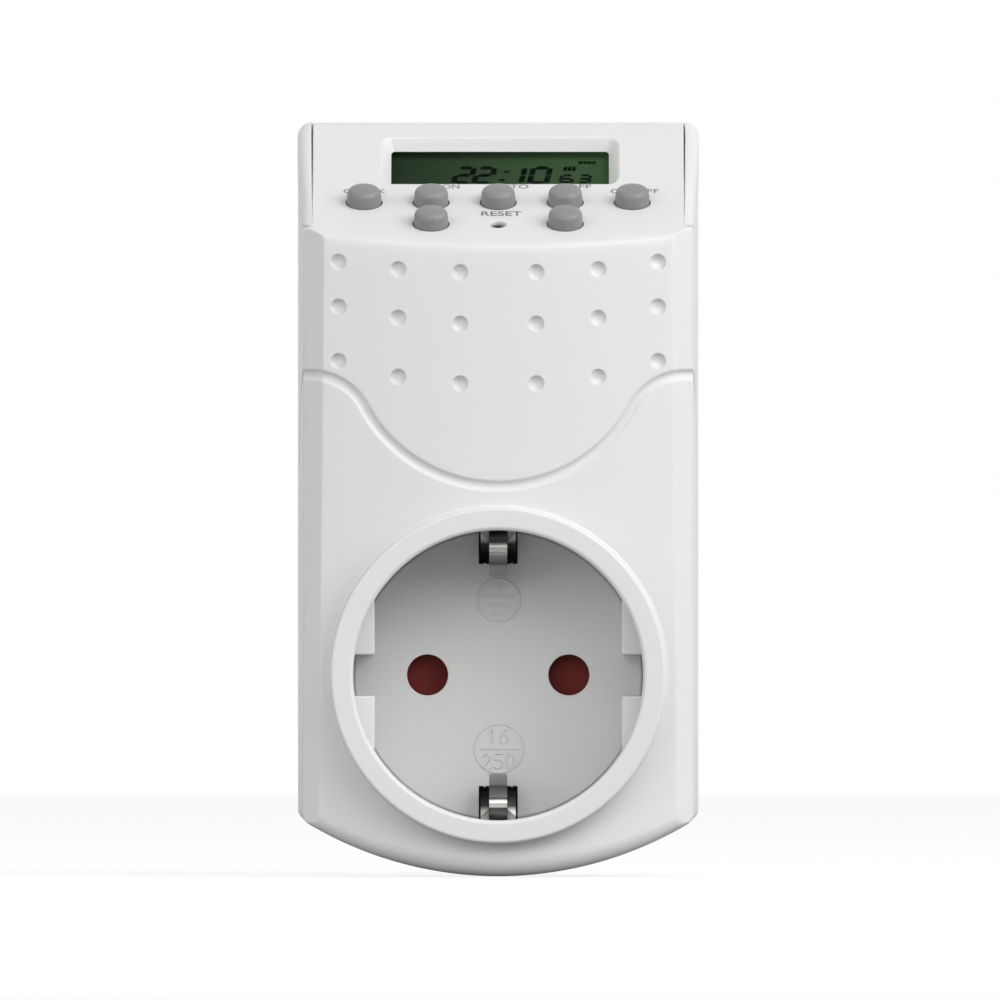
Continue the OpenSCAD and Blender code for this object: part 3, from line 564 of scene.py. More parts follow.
def frontDepth(x, z):
    # depth of the outer surface seen from the front, with the groove and the dimples
    start, width = housing["tipBlend"]
    near = 1 - smoothStep((z - housing["tip"] - start) / width)
    bow = earBow(halfWidthAt(housing["tipDepth"]) - np.abs(x)) / math.sin(housing["panelTilt"])
    smooth = underSlope(x, z, slopeDepth(z) + near * bow)
    more, start, width = groove["deeper"]
    deeper = 1 + more * smoothStep((np.abs(x) - start) / width)
    return smooth + grooveDepth(grooveDistance(x, z)) * deeper + dimpleDepth(x, z)


def frontPoint(x, z, step=0.012):
    dx = (frontDepth(x + step, z) - frontDepth(x - step, z)) / (2 * step)
    dz = (frontDepth(x, z + step) - frontDepth(x, z - step)) / (2 * step)
    normal = pointsOf(dx, -np.ones_like(dx), dz)
    normal /= np.linalg.norm(normal, axis=-1, keepdims=True)
    return pointsOf(x, frontDepth(x, z), z), normal


# Mesh helpers: a skin gathers points with normals and faces, and becomes one object

def newSkin():
    return {"points": [], "normals": [], "faces": [], "count": 0}


def addPoints(skin, points, normals):
    first = skin["count"]
    skin["points"].append(np.asarray(points, float).reshape(-1, 3))
    skin["normals"].append(np.asarray(normals, float).reshape(-1, 3))
    skin["count"] += len(skin["points"][-1])
    return np.arange(first, skin["count"])


def alongRows(rows, closed, axis):
    if closed:
        return np.roll(rows, -1, axis) - np.roll(rows, 1, axis)
    return np.gradient(rows, axis=axis)


def addRows(skin, rows, outward, closed=False, firstNormals=None, soften=0):
    # a sheet through rows of points; outward is a rough normal of its first row
    rows = np.asarray(rows, float)
    normals = np.cross(np.gradient(rows, axis=0), alongRows(rows, closed, 1))
    normals = normals / np.maximum(np.linalg.norm(normals, axis=-1, keepdims=True), 1e-9)
    for _ in range(soften):
        normals = normals + np.roll(normals, 1, 1) + np.roll(normals, -1, 1)
        normals /= np.linalg.norm(normals, axis=-1, keepdims=True)
    if (normals[0] * outward).sum() < 0:
        normals = -normals
    if firstNormals is not None:
        normals[0] = firstNormals
    ids = addPoints(skin, rows, normals).reshape(rows.shape[:2])
    left, right = (ids, np.roll(ids, -1, 1)) if closed else (ids[:, :-1], ids[:, 1:])
    quads = np.stack([left[:-1], right[:-1], right[1:], left[1:]], axis=-1)
    skin["faces"].append(quads.reshape(-1, 4))


def addWall(skin, path, ends):
    # flat faces along a path of (x, z) points, from one depth to another
    for (ax, az), (bx, bz) in zip(path[:-1], path[1:]):
        normal = np.array([bz - az, 0, ax - bx])
        normal = normal / np.linalg.norm(normal)
        corners = [(ax, ends[0], az), (bx, ends[0], bz), (bx, ends[1], bz), (ax, ends[1], az)]
        ids = addPoints(skin, corners, [normal] * 4)
        skin["faces"].append(ids.reshape(1, 4))


def insideLoop(points, loop):
    inside = np.zeros(len(points), bool)
    x, y = points[:, 0], points[:, 1]
    for (ax, ay), (bx, by) in zip(loop, np.roll(loop, -1, axis=0)):
        if ay != by:
            crosses = (ay > y) != (by > y)
            inside ^= crosses & (x < ax + (y - ay) * (bx - ax) / (by - ay))
    return inside


def onSheet(points, outer, holes):
    keep = insideLoop(points, outer)
    for hole in holes:
        keep &= ~insideLoop(points, hole)
    return keep


def thinned(points, taken, gap):
    # leaves out the points that lie nearer than gap to those already taken
    keep = np.ones(len(points), bool)
    for start in range(0, len(points), 400):
        part = points[start:start + 400]
        away = np.hypot(part[:, None, 0] - taken[None, :, 0], part[:, None, 1] - taken[None, :, 1])
        keep[start:start + 400] = away.min(axis=1) > gap
    return points[keep]


def addPatch(skin, outer, holes, layers, place):
    # triangulates a flat outline with holes and layers of inner points, each layer with its gap
    # from all the points before it, and places the points in space
    loops = [outer] + holes
    edges, first = [], 0
    for loop in loops:
        n = len(loop)
        edges += [(first + i, first + (i + 1) % n) for i in range(n)]
        first += n
    coords = np.concatenate(loops)
    for points, gap in layers:
        points = thinned(points, coords, gap)
        coords = np.concatenate([coords, points[onSheet(points, outer, holes)]])
    made = delaunay_2d_cdt([Vector(c) for c in coords], edges, [], 0, 1e-6)
    flat = np.array([v[:] for v in made[0]])
    faces = np.array(made[2])
    points, normals = place(flat)
    ids = addPoints(skin, points, normals)
    skin["faces"].append(ids[0] + faces[onSheet(flat[faces].mean(axis=1), outer, holes)])


def flatSheet(y, normal):
    # places a patch at one depth
    return lambda flat: (pointsOf(flat[:, 0], y, flat[:, 1]), np.tile(normal, (len(flat), 1)))


def buildSkin(skin, name):
    points = np.concatenate(skin["points"])
    normals = np.concatenate(skin["normals"])
    key = np.round(np.hstack([points * 1000, normals * 6])).astype(np.int64)
    _, chosen, place = np.unique(key, axis=0, return_index=True, return_inverse=True)
    place = place.reshape(-1)
    points, normals = points[chosen], normals[chosen]
    faces = []
    for group in skin["faces"]:
        group = place[group]
        corners = points[group]
        last = corners[:, -1]
        turned = np.cross(corners[:, 2] - corners[:, 0], last - corners[:, 1])
        if group.shape[1] == 3:
            turned = np.cross(corners[:, 1] - corners[:, 0], last - corners[:, 0])
        wrong = (turned * normals[group].mean(axis=1)).sum(axis=1) < 0
        group[wrong] = group[wrong][:, ::-1]
        for face in group.tolist():
            single = [v for i, v in enumerate(face) if v != face[i - 1]]
            if len(set(single)) == len(single) > 2:
                faces.append(single)
    mesh = bpy.data.meshes.new(name)
    mesh.from_pydata((points * mm).tolist(), [], faces)
    mesh.validate()
    mesh.polygons.foreach_set("use_smooth", [True] * len(mesh.polygons))
    mesh.normals_split_custom_set_from_vertices(normals.tolist())
    print(name, "has", len(points), "points and", len(faces), "faces")
    return makeObject(name, mesh)


def smoothObject(bm, name, angle=35.0):
    mesh = bpy.data.meshes.new(name)
    bmesh.ops.recalc_face_normals(bm, faces=bm.faces)
    bm.to_mesh(mesh)
    bm.free()
    mesh.polygons.foreach_set("use_smooth", [True] * len(mesh.polygons))
    mesh.set_sharp_from_angle(angle=math.radians(angle))
    return makeObject(name, mesh)


def roundEdges(bm, edges, offset, segments, **options):
    bmesh.ops.bevel(bm, geom=edges, offset=offset * mm, segments=segments, affect="EDGES", profile=0.5,
                    **options)


def roundCorners(bm, offset, sharpness=1.2):
    sharp = [e for e in bm.edges if e.is_manifold and e.calc_face_angle(0) > sharpness]
    roundEdges(bm, sharp, offset, 2)


def addLoop(bm, points):
    return [bm.verts.new(Vector(p) * mm) for p in points]


def addBridge(bm, first, second):
    n = len(first)
    for i in range(n):
        bm.faces.new([first[i], first[(i + 1) % n], second[(i + 1) % n], second[i]])


def prism(bm, profile, low, high, axis=1):
    # a straight bar of a flat profile; the axis is 0 for x or 1 for y
    ends = [addLoop(bm, [(level, a, b) if axis == 0 else (a, level, b) for a, b in profile])
            for level in (low, high)]
    bm.faces.new(ends[0][::-1])
    bm.faces.new(ends[1])
    addBridge(bm, *ends)


# The outline of the housing and the points that its front face is built through

def outline(halfWidth, inset, sideLevels):
    # down the right side, round the bottom and up the left side
    h = housing
    r = h["cornerRadius"]
    cx = halfWidth - r
    cz = h["bottomCentre"] - math.sqrt((h["bottomRadius"] - r) ** 2 - cx * cx)
    turn = math.atan2(cz - h["bottomCentre"], cx)
    side = pointsOf(halfWidth - inset, np.maximum(sideLevels, cz))
    corner = np.linspace(0, turn, 9)[1:]
    corner = pointsOf(cx + (r - inset) * np.cos(corner), cz + (r - inset) * np.sin(corner))
    bottom = np.linspace(turn, -math.pi / 2, 44)[1:]
    big = h["bottomRadius"] - inset
    bottom = pointsOf(big * np.cos(bottom), h["bottomCentre"] + big * np.sin(bottom))
    bottom[-1, 0] = 0
    right = np.concatenate([side, corner, bottom])
    return np.concatenate([right, (right[::-1] * [-1, 1])[1:]])


def stretched(z):
    # z with the panel laid out at its full length, so that its holes are round
    level = housing["stretchFrom"]
    return np.where(z > level, level + (z - level) / math.sin(housing["panelTilt"]), z)


def onPanel(points):
    # from (x, s) on the panel to (x, stretched z)
    z = housing["top"] - points[:, 1] * math.sin(housing["panelTilt"])
    return pointsOf(points[:, 0], stretched(z))


def placeFront(flat):
    # the reverse of stretched, for the points of the front's patch
    v, level = flat[:, 1], housing["stretchFrom"]
    short = level + (v - level) * math.sin(housing["panelTilt"])
    return frontPoint(flat[:, 0], np.where(v > level, short, v))


def roundedRectangle(half, start, end, rx, rs, steps=10):
    # with elliptical corners: rx across, rs down the panel
    x, near, far = half - rx, start + rs, end - rs
    corners = ((x, far), (-x, far), (-x, near), (x, near))
    turns = [quarterTurn(steps) + quarter * math.pi / 2 for quarter in range(4)]
    return np.concatenate([pointsOf(x + rx * np.cos(turn), s + rs * np.sin(turn))
                           for (x, s), turn in zip(corners, turns)])


def coverSideLevels():
    low = housing["cornerLevel"]
    tip = housing["tip"] - np.array([0, 0.1, 0.2, 0.32, 0.46, 0.6, 0.8, 1.05, 1.3, 1.55, 1.9, 2.4])
    return np.concatenate([tip, np.arange(57.2, 42.2, -0.7), np.arange(41.9, 38.6, -0.16),
                           np.arange(38.4, 26.5, -0.35), np.arange(26.0, low, -0.9), [low]])


def edgeShape(count, radius, depth=None):
    # from the face over a rounded edge: pairs of (distance inwards from the edge, depth)
    shape = [(radius * (1 - math.sin(t)), radius * (1 - math.cos(t))) for t in quarterTurn(count)]
    return shape + [(0, depth)] if depth else shape


def addPanelHole(skin, x, s, radius, edge, depth, cavity=None):
    turn = fullTurn(40)
    shape = edgeShape(5, edge, depth)
    if cavity:
        shape[-1:] = [(-resetHole["lip"], depth), (cavity - radius, depth + 0.02),
                      (cavity - radius, depth + 1.0)]
    rows = [panelPoint(x + (radius + a) * np.cos(turn), s + (radius + a) * np.sin(turn), -d)
            for a, d in shape]
    addRows(skin, rows, panelUp, closed=True, firstNormals=panelUp)
    return onPanel(pointsOf(x + (radius + edge) * np.cos(turn), s + (radius + edge) * np.sin(turn)))


def addWindowOpening(skin):
    w = window
    (cx, cs), (ix, ins) = w["corner"], w["innerCorner"]
    loops = [(w["half"] + a, w["from"] - a, w["to"] + a, cx + a, cs + a, d)
             for a, d in edgeShape(5, w["edge"])[:4]]
    for share in (0.12, 0.5, 1):
        loops.append((w["half"] - w["taper"] * share, w["from"] + w["taperEnds"] * share,
                      w["to"] - w["taperEnds"] * share, cx + (ix - cx) * share, cs + (ins - cs) * share,
                      housing["panelThickness"] * share))
    rings = [roundedRectangle(*loop[:5]) + [w["x"], 0] for loop in loops]
    rows = [panelPoint(ring[:, 0], ring[:, 1], -loop[5]) for ring, loop in zip(rings, loops)]
    addRows(skin, rows, panelUp, closed=True, firstNormals=panelUp, soften=5)
    return onPanel(rings[0])


def dimpleRings():
    rings = []
    for x, levels in dimples["columns"].items():
        for z in levels:
            for side in (-1, 1):
                rings.append(np.array([[side * x, z]]))
                rings += [circle(side * x, z, r, 30, 0.12 * r) for r in dimples["rings"]]
    return np.concatenate(rings)


def grooveRows():
    sx, sz, sr = groove["shoulder"]
    hx, hz, hr = groove["hollow"]
    meet = math.atan2(sz - hz, sx - hx)
    bottom = np.linspace(-math.pi / 2, meet, 40)
    top = np.linspace(meet + math.pi, math.pi / 2, 26)[1:]
    rows = []
    for off in (-0.95, -0.74, -0.6, -0.42, -0.22, -0.08, 0.08, 0.22, 0.42, 0.6, 0.74, 0.95):
        right = np.concatenate([pointsOf(hx + (hr - off) * np.cos(bottom), hz + (hr - off) * np.sin(bottom)),
                                pointsOf(sx + (sr + off) * np.cos(top), sz + (sr + off) * np.sin(top))])
        right = right[right[:, 0] < 24.95]
        rows += [right, right * [-1, 1]]
    return np.concatenate(rows)


def creaseRows():
    # close rows along the top crease, the bevels' edges and the rounded bottom
    h = housing
    across = np.arange(-25, 25.01, 0.6)
    slope = 1 / math.tan(h["panelTilt"])
    face = np.maximum(faceDepth(across, 0), bevelDepth(across))
    join = (face - h["panelTop"] + h["top"] * slope) / (slope + math.tan(h["frontLean"]))
    rows = [pointsOf(across, stretched(join + off))
            for off in (-1.7, -1.25, -0.9, -0.62, -0.4, -0.2, 0, 0.15, 0.3, 0.46, 0.66, 0.95)]
    x = np.linspace(22.5, 25, 200)
    for z in np.arange(-21, 58.5, 0.8):
        edge = x[np.argmin(np.abs(faceDepth(x, z) - bevelDepth(x)))]
        rows += [np.array([[edge + off, z], [-edge - off, z]])
                 for off in (-0.75, -0.42, -0.22, -0.08, 0.06, 0.2, 0.4, 0.7)]
    turn = np.linspace(math.radians(-148), math.radians(-32), 90)
    for radius in (47.3, 47.6, 47.9, 48.2, 48.5, 48.85):
        ring = pointsOf(radius * np.cos(turn), h["bottomCentre"] + radius * np.sin(turn))
        rows.append(ring[np.abs(ring[:, 0]) < 24.6])
    return np.concatenate(rows)


def tipRows():
    # close rows where the panel, the bevel and the rounded ears meet
    z = stretched(np.arange(58.0, 60.25, 0.15))
    return np.concatenate([pointsOf(side * (frontHalf - inset), z)
                           for inset in (0.15, 0.3, 0.48, 0.7, 0.95, 1.2, 1.5, 1.8, 2.1, 2.4, 2.7, 3.0, 3.3)
                           for side in (-1, 1)])


def baseGrid(spacing, low, high):
    rows = []
    for i, v in enumerate(np.arange(low[1], high[1], spacing * 0.866)):
        rows.append(pointsOf(np.arange(low[0] + (i % 2) * spacing / 2, high[0], spacing), v))
    return np.concatenate(rows)


def seamDepth(z):
    h = housing
    share = np.clip((z - h["seamTop"]) / (h["tip"] - h["seamTop"]), 0, 1)
    return h["seam"] + (h["tipDepth"] - h["seam"]) * share


def makeFrontCover():
    skin = newSkin()
    h = housing
    levels = coverSideLevels()
    edge = outline(frontHalf, 0, levels)
    inward = outline(frontHalf, 1, levels) - edge
    reach = smoothStep((h["tip"] - edge[:, 1]) / h["edgeReach"])[:, None] * h["edgeInset"]
    ring = edge + inward * reach
    # the panel's own edges, beside the cheeks and at the top
    steps = 46
    rise = np.linspace(0, 1, steps)
    topLevel = h["top"] - h["panelGap"]
    least, more, full = h["cheekGap"]
    panelX = earInsideAt(h["tip"] + rise * h["earHeight"]) - least - more * smoothStep(rise / full)
    panelZ = h["tip"] + 0.015 + (topLevel - h["tip"] - 0.015) * rise
    across = np.linspace(panelX[-1], -panelX[-1], 40)[1:-1]
    panelEdge = np.concatenate([pointsOf(-panelX, panelZ), pointsOf(-across, topLevel),
                                pointsOf(panelX, panelZ)[::-1]])
    outwards = np.zeros_like(panelEdge)
    outwards[:steps, 0], outwards[-steps:, 0] = -1, 1
    outwards[steps - 1:1 - steps, 1] = math.sin(h["panelTilt"])
    along, fadeIn = np.arange(len(outwards)), 14
    outwards *= np.minimum(1, np.minimum(along, along[::-1]) / fadeIn)[:, None]
    panelRing = panelEdge - outwards * h["panelRounding"]
    outer = np.concatenate([ring, panelRing])
    outer = pointsOf(outer[:, 0], stretched(outer[:, 1]))

    holes = [addPanelHole(skin, x, s, keys["hole"], keys["edge"], h["panelThickness"])
             for x, s in keyCentres.values()]
    holes.append(addPanelHole(skin, 0, resetHole["at"], resetHole["radius"], resetHole["edge"],
                              resetHole["depth"], resetHole["cavity"]))
    holes.append(addWindowOpening(skin))
    theta, besideSlots = socketAngles()
    foot = socket["collar"] + socket["cove"]
    holes.append(pointsOf(foot * np.cos(theta), foot * np.sin(theta)))
    rings = [circle(0, 0, foot + off, 150, 0.01) for off in (0.25, 0.6, 1.1)]
    rings += [onPanel(circle(x, s, 3.1, 30)) for x, s in keyCentres.values()]
    rings.append(onPanel(circle(0, resetHole["at"], 1.9, 30)))
    layers = [(np.concatenate(rings), 0.18), (dimpleRings(), 0.03), (grooveRows(), 0.1), (tipRows(), 0.08),
              (creaseRows(), 0.16), (baseGrid(1.25, (-26.5, -27), (26.5, 98)), 0.72)]
    addPatch(skin, outer, holes, layers, placeFront)

    # over the rounded edge to the side walls and the bottom
    rows = []
    for share in (1, 0.8, 0.62, 0.46, 0.33, 0.22, 0.13, 0.06, 0.015, 0):
        at = edge + inward * reach * share
        y = frontDepth(at[:, 0], at[:, 1])
        close = np.clip(1 - share * reach[:, 0] / 0.36, 0, 1)
        wider = np.maximum(halfWidthAt(y) - frontHalf, 0)
        rows.append(pointsOf(at[:, 0] + np.sign(at[:, 0]) * wider, y + 0.13 * close ** 2, at[:, 1]))
    start = rows[-1][:, 1]
    end = np.maximum(seamDepth(edge[:, 1]), start + 0.01)
    wide = outline(h["halfWidth"], 0, levels)
    sy, sz, sr = groove["side"]
    isSide = np.abs(edge[:, 0]) > frontHalf - 0.001
    for share in np.concatenate([[0.006, 0.014, 0.026, 0.045], np.linspace(0.07, 1, 44)]):
        y = start + (end - start) * share
        widen = ((halfWidthAt(y) - frontHalf) / h["sideDraft"])[:, None]
        at = edge + (wide - edge) * widen
        away = np.abs(np.hypot(y - sy, at[:, 1] - sz) - sr)
        cut = np.where(isSide & (at[:, 1] > sz), grooveDepth(away), 0)
        rows.append(pointsOf(at[:, 0] - np.sign(at[:, 0]) * cut, y, at[:, 1]))
    ends = rows[-1]
    addRows(skin, rows, forwards, firstNormals=frontPoint(ring[:, 0], ring[:, 1])[1])
    turnedIn = ends.copy()
    turnedIn[:, 0] -= np.sign(turnedIn[:, 0]) * h["wallInside"]
    addRows(skin, [ends, turnedIn], backwards)

    # under the tips, and round the panel's own edges
    for side in (-1, 1):
        across = np.linspace(panelX[0], frontHalf, 8)
        top = frontPoint(side * across, np.full(8, h["tip"]))[0]
        top[:, 0] += side * np.linspace(0, 1, 8) * max(halfWidthAt(ends[0, 1]) - frontHalf, 0)
        addRows(skin, [top, np.maximum(top, [-99, h["tipDepth"] + 2, -99])], [0, 0, 1])
    rows = []
    for inset, depth in edgeShape(5, h["panelRounding"], h["panelThickness"]):
        at = panelEdge - outwards * inset
        rows.append(panelPoint(at[:, 0], (h["top"] - at[:, 1]) / math.sin(h["panelTilt"]), -depth))
    addRows(skin, rows, panelUp, firstNormals=panelUp)

    addCollar(skin, theta, foot)
    addRecess(skin, besideSlots)
    addSocketFloor(skin, besideSlots)
    return buildSkin(skin, "frontCover")


def socketAngles():
    # angles round the socket, with columns at the edges of both earth slots
    slot = math.asin(socket["slotHalf"] / socket["recess"])
    right = np.linspace(-math.pi / 2 + slot, math.pi / 2 - slot, 93)
    top = np.linspace(math.pi / 2 - slot, math.pi / 2 + slot, 9)[1:-1]
    return np.concatenate([right, top, right + math.pi, top + math.pi]), right


def addCollar(skin, theta, foot):
    k = socket
    x, z = np.cos(theta), np.sin(theta)
    footDepth = frontDepth(foot * x, foot * z)
    cornerDepth = frontDepth(k["collar"] * x, k["collar"] * z)
    rows = []
    for t in np.linspace(0, 1, 7):
        r = foot * (1 - t) ** 2 + k["collar"] * (1 - (1 - t) ** 2)
        y = footDepth * (1 - t) ** 2 + cornerDepth * 2 * t * (1 - t) + (cornerDepth - k["cove"]) * t * t
        rows.append(ringAt(r, y, theta))
    out, turn = k["outerRounding"], k["innerRounding"]
    rows += [ringAt(k["collar"] - out * (1 - math.cos(a)), k["rim"] + out * (1 - math.sin(a)), theta)
             for a in quarterTurn(9)]
    rows += [ringAt(k["recess"] + turn * (1 - math.sin(a)), k["rim"] + turn * (1 - math.cos(a)), theta)
             for a in quarterTurn(7)]
    rows += [ringAt(k["recess"], y, theta) for y in ((k["rim"] + k["slotFront"]) / 2, k["slotFront"])]
    outward = frontPoint(foot * x, foot * z)[1]
    addRows(skin, rows, outward, closed=True, firstNormals=outward)


def addRecess(skin, right):
    k = socket
    cove = k["floorRounding"]
    for arc in (right, right + math.pi):
        rows = [ringAt(k["recess"], y, arc) for y in np.linspace(k["slotFront"], k["floor"] + cove, 6)]
        rows += [ringAt(k["recess"] - cove * (1 - math.cos(a)), k["floor"] + cove * (1 - math.sin(a)), arc)
                 for a in quarterTurn(5)[1:]]
        addRows(skin, rows, -ringAt(1, 0, arc))


def slotPath(up):
    # the floor's edge round an earth slot, with two small nubs
    half, level = socket["slotHalf"], socket["slotIn"]
    near, middle, far = socket["nub"]
    path = [(half, 19.0), (half, level), (far, level), (middle, level + socket["nubRise"]), (near, level)]
    return np.array(path + [(-x, z) for x, z in path[::-1]]) * [up, up]


def addSocketFloor(skin, right):
    k = socket
    back = k["floor"] + k["floorThickness"]
    r = k["recess"] - k["floorRounding"]
    arc = pointsOf(r * np.cos(right), r * np.sin(right))
    outer = np.concatenate([arc, slotPath(1), -arc, slotPath(-1)])
    holes, rings = [], []
    for side in (-1, 1):
        cx = side * k["pinX"]
        rows = [ringAt(k["pinHole"] + a, k["floor"] + d, fullTurn(48)) + [cx, 0, 0]
                for a, d in edgeShape(4, k["pinEdge"], k["floorThickness"])]
        addRows(skin, rows, forwards, closed=True, firstNormals=forwards)
        holes.append(circle(cx, 0, k["pinHole"] + k["pinEdge"], 48))
        rings += [circle(cx, 0, 3.3, 40), circle(cx, 0, 4.1, 36)]
    layers = [(np.concatenate(rings), 0.2), (baseGrid(1.5, (-19.3, -19.3), (19.3, 19.3)), 0.8)]
    addPatch(skin, outer, holes, layers, flatSheet(k["floor"], forwards))
    half, out = k["slotHalf"], k["slotOut"]
    arc = np.linspace(half, -half, 9)
    for up in (-1, 1):
        addWall(skin, slotPath(up), (k["floor"], back))
        wall = np.array([(half, 19.3), (half, out), (-half, out), (-half, 19.3)]) * [up, up]
        addWall(skin, wall, (k["slotFront"], back))
        low = pointsOf(arc, k["slotFront"], up * np.sqrt(k["recess"] ** 2 - arc ** 2))
        addRows(skin, [low, pointsOf(arc, k["slotFront"], np.full(9, up * out))], backwards)


def makeGuidePads():
    # four guides that keep a plug's flat sides in place
    k = socket
    bm = bmesh.new()
    start = math.asin(k["padGap"] / k["recess"])
    end = math.atan2(math.sqrt(k["recess"] ** 2 - k["padX"] ** 2), k["padX"])
    arc = [((k["recess"] + 0.05) * math.cos(a), (k["recess"] + 0.05) * math.sin(a))
           for a in np.linspace(start, end, 12)]
    for side in (-1, 1):
        for up in (-1, 1):
            top, low = (addLoop(bm, [(side * x, y, up * z) for x, z in [(k["padX"], k["padGap"])] + arc])
                        for y in (k["padTop"], k["floor"] + 0.02))
            bm.faces.new(top)
            addBridge(bm, top, low)
            soft = [e for e in bm.edges if e.is_valid and any(
                set(e.verts) <= {top[0], other} for other in (top[1], top[-1], low[0]))]
            roundEdges(bm, soft, k["padEdge"], 4)
    return smoothObject(bm, "guidePads")


finished(makeFrontCover(), "housing", "housing_white", "front_cover")
finished(makeGuidePads(), "housing", "housing_white")
print("front cover is ready")


# The back shell: its cheeks stand up beside the panel, and the plug body stands out behind
rear = {
    "bulge": 0.13, "rounding": 0.5, "seamGap": 0.09, "topFront": -19.0,
    "posts": ((21.5, -15.5), (21.5, 45.0)), "headSeat": -22.6, "headHole": 3.2, "headEdge": 0.25,
    "screwHole": 1.6,
    "bodyRadius": 18.5, "bodyFlat": 16.2, "rib": 2.4, "strapHalf": 2.7, "strapLevel": 17.5, "chamfer": 0.8,
    "footHole": 17.9, "footFlat": 15.9, "footLevel": 17.3,
    "wallDeep": np.array([2.0, 4.5]), "wallBack": -17.6, "rimDrop": (0.22, 5),
    "swellFrom": ((25.2, 1.5), (-17.4, 3), (62.5, 5.5)),
}


def rearOutline(halfWidth, inset):
    # from the middle of the top, over the right ear, round the bottom and back
    h = housing
    levels = np.concatenate([[71.6, 70.6, 69.4, 68, 66.5, 65, 63.8, 62.8, 62, 61.3, 60.8, 60.31, 60.29],
                             np.arange(59.6, 44.2, -0.9), [h["seamTop"]], np.arange(42.5, -20, -2.0),
                             [h["cornerLevel"]]])
    turn = quarterTurn(12)[::-1]
    cx, cz = h["earInside"], h["top"] - h["earCorner"]
    arc = pointsOf(cx + (halfWidth - cx - inset) * np.cos(turn), cz + (h["earCorner"] - inset) * np.sin(turn))
    return np.concatenate([arc, outline(halfWidth, inset, levels), arc[::-1] * [-1, 1]])


def rearAt(y, inset=0.0):
    # the outline at a depth (one value or one for each column), with the cheeks' slight bulge
    narrow, wide = rearOutline(frontHalf, inset), rearOutline(housing["halfWidth"], inset)
    y = np.broadcast_to(y, len(narrow))
    share = (halfWidthAt(y) - frontHalf) / housing["sideDraft"]
    flat = narrow + (wide - narrow) * share[:, None]
    (side, width), (front, depth), (low, height) = rear["swellFrom"]
    swell = rear["bulge"] * smoothStep((flat[:, 1] - low) / height) * smoothStep((front - y) / depth)
    flat[:, 0] += np.sign(flat[:, 0]) * swell * np.clip((np.abs(flat[:, 0]) - side) / width, 0, 1)
    return pointsOf(flat[:, 0], y, flat[:, 1])


def addEar(skin, side, base, edgeRow, isEar, factor):
    # rounded edge, front face, and the wall beside the panel
    h = housing
    cz = h["top"] - h["earCorner"]
    pick = isEar & (np.sign(base[:, 0]) == side)
    columns = np.flatnonzero(pick)
    outer = edgeRow[columns]
    centre = pointsOf(side * earInsideAt(outer[:, 2]), np.minimum(outer[:, 2], cz))
    span = np.hypot(outer[:, 0] - centre[:, 0], outer[:, 2] - centre[:, 1])
    sheet = []
    for share in (0, 0.01, 0.03, 0.07, 0.13, 0.2, 0.3, 0.42, 0.56, 0.72, 0.88):
        z = outer[:, 2] + (centre[:, 1] - outer[:, 2]) * share
        y = slopeDepth(z) + factor[columns] * earBow(share * span)
        y = underSlope(outer[:, 0] + (centre[:, 0] - outer[:, 0]) * share, z, y)
        edge = rearAt(np.where(pick, np.interp(np.arange(len(base)), columns, y), -30.0))[columns]
        sheet.append(pointsOf(edge[:, 0] + (centre[:, 0] - edge[:, 0]) * share, y, z))
    last = sheet[-1]
    drop, rise = rear["rimDrop"]
    for t in np.linspace(0.3, 1, 4):
        x = last[:, 0] + (centre[:, 0] - last[:, 0]) * math.sin(t * math.pi / 2)
        z = last[:, 2] + (centre[:, 1] - last[:, 2]) * math.sin(t * math.pi / 2)
        y = underSlope(x, z, slopeDepth(z) + factor[columns] * earBow(span))
        y = y + drop * (1 - math.cos(t * math.pi / 2)) * smoothStep((z - h["tip"]) / rise)
        sheet.append(pointsOf(x, y, z))
    rim = len(sheet)
    last = sheet[-1]
    sheet += [pointsOf(last[:, 0], np.minimum(last[:, 1] + deep, rear["wallBack"]), last[:, 2])
              for deep in rear["wallDeep"]]
    sheet = np.array(sheet)

    # its foot follows the line of the cover's tip
    low = np.argmin(outer[:, 2])
    line = np.linspace(sheet[rim - 1, low, 0] * side, frontHalf, 40)
    cover = frontDepth(line, np.full(40, h["tip"] - 0.01))
    line += np.linspace(0, 1, 40) * (sheet[0, low, 0] * side - frontHalf)
    foot = sheet[:, low].copy()
    foot[:rim, 1] = np.interp(foot[:rim, 0] * side, line, cover) - 0.006
    foot[rim:, 1] = np.minimum(foot[rim - 1, 1] + rear["wallDeep"], rear["wallBack"])
    foot[:, 2] = h["tip"] - 0.01
    shift = (foot[:rim, 1] - sheet[:rim, low, 1]) * np.minimum(1, np.arange(rim) / 3)
    sheet[:rim, :, 1] += shift[:, None] * (1 - smoothStep((sheet[:rim, :, 2] - h["tip"]) / 2.5))
    sheet = np.insert(sheet, 0 if low == 0 else len(columns), foot, axis=1)
    addRows(skin, sheet, [side, -0.5, 0])
    bottom, top = foot[:rim], sheet[:rim, np.argmax(outer[:, 2])]
    addRows(skin, [bottom, np.maximum(bottom, [-99, h["tipDepth"] + 2, -99])], [0, 0, -1])
    addRows(skin, [top, np.maximum(top, [-99, rear["topFront"] + 0.6, -99])], [-side, 0, 0])


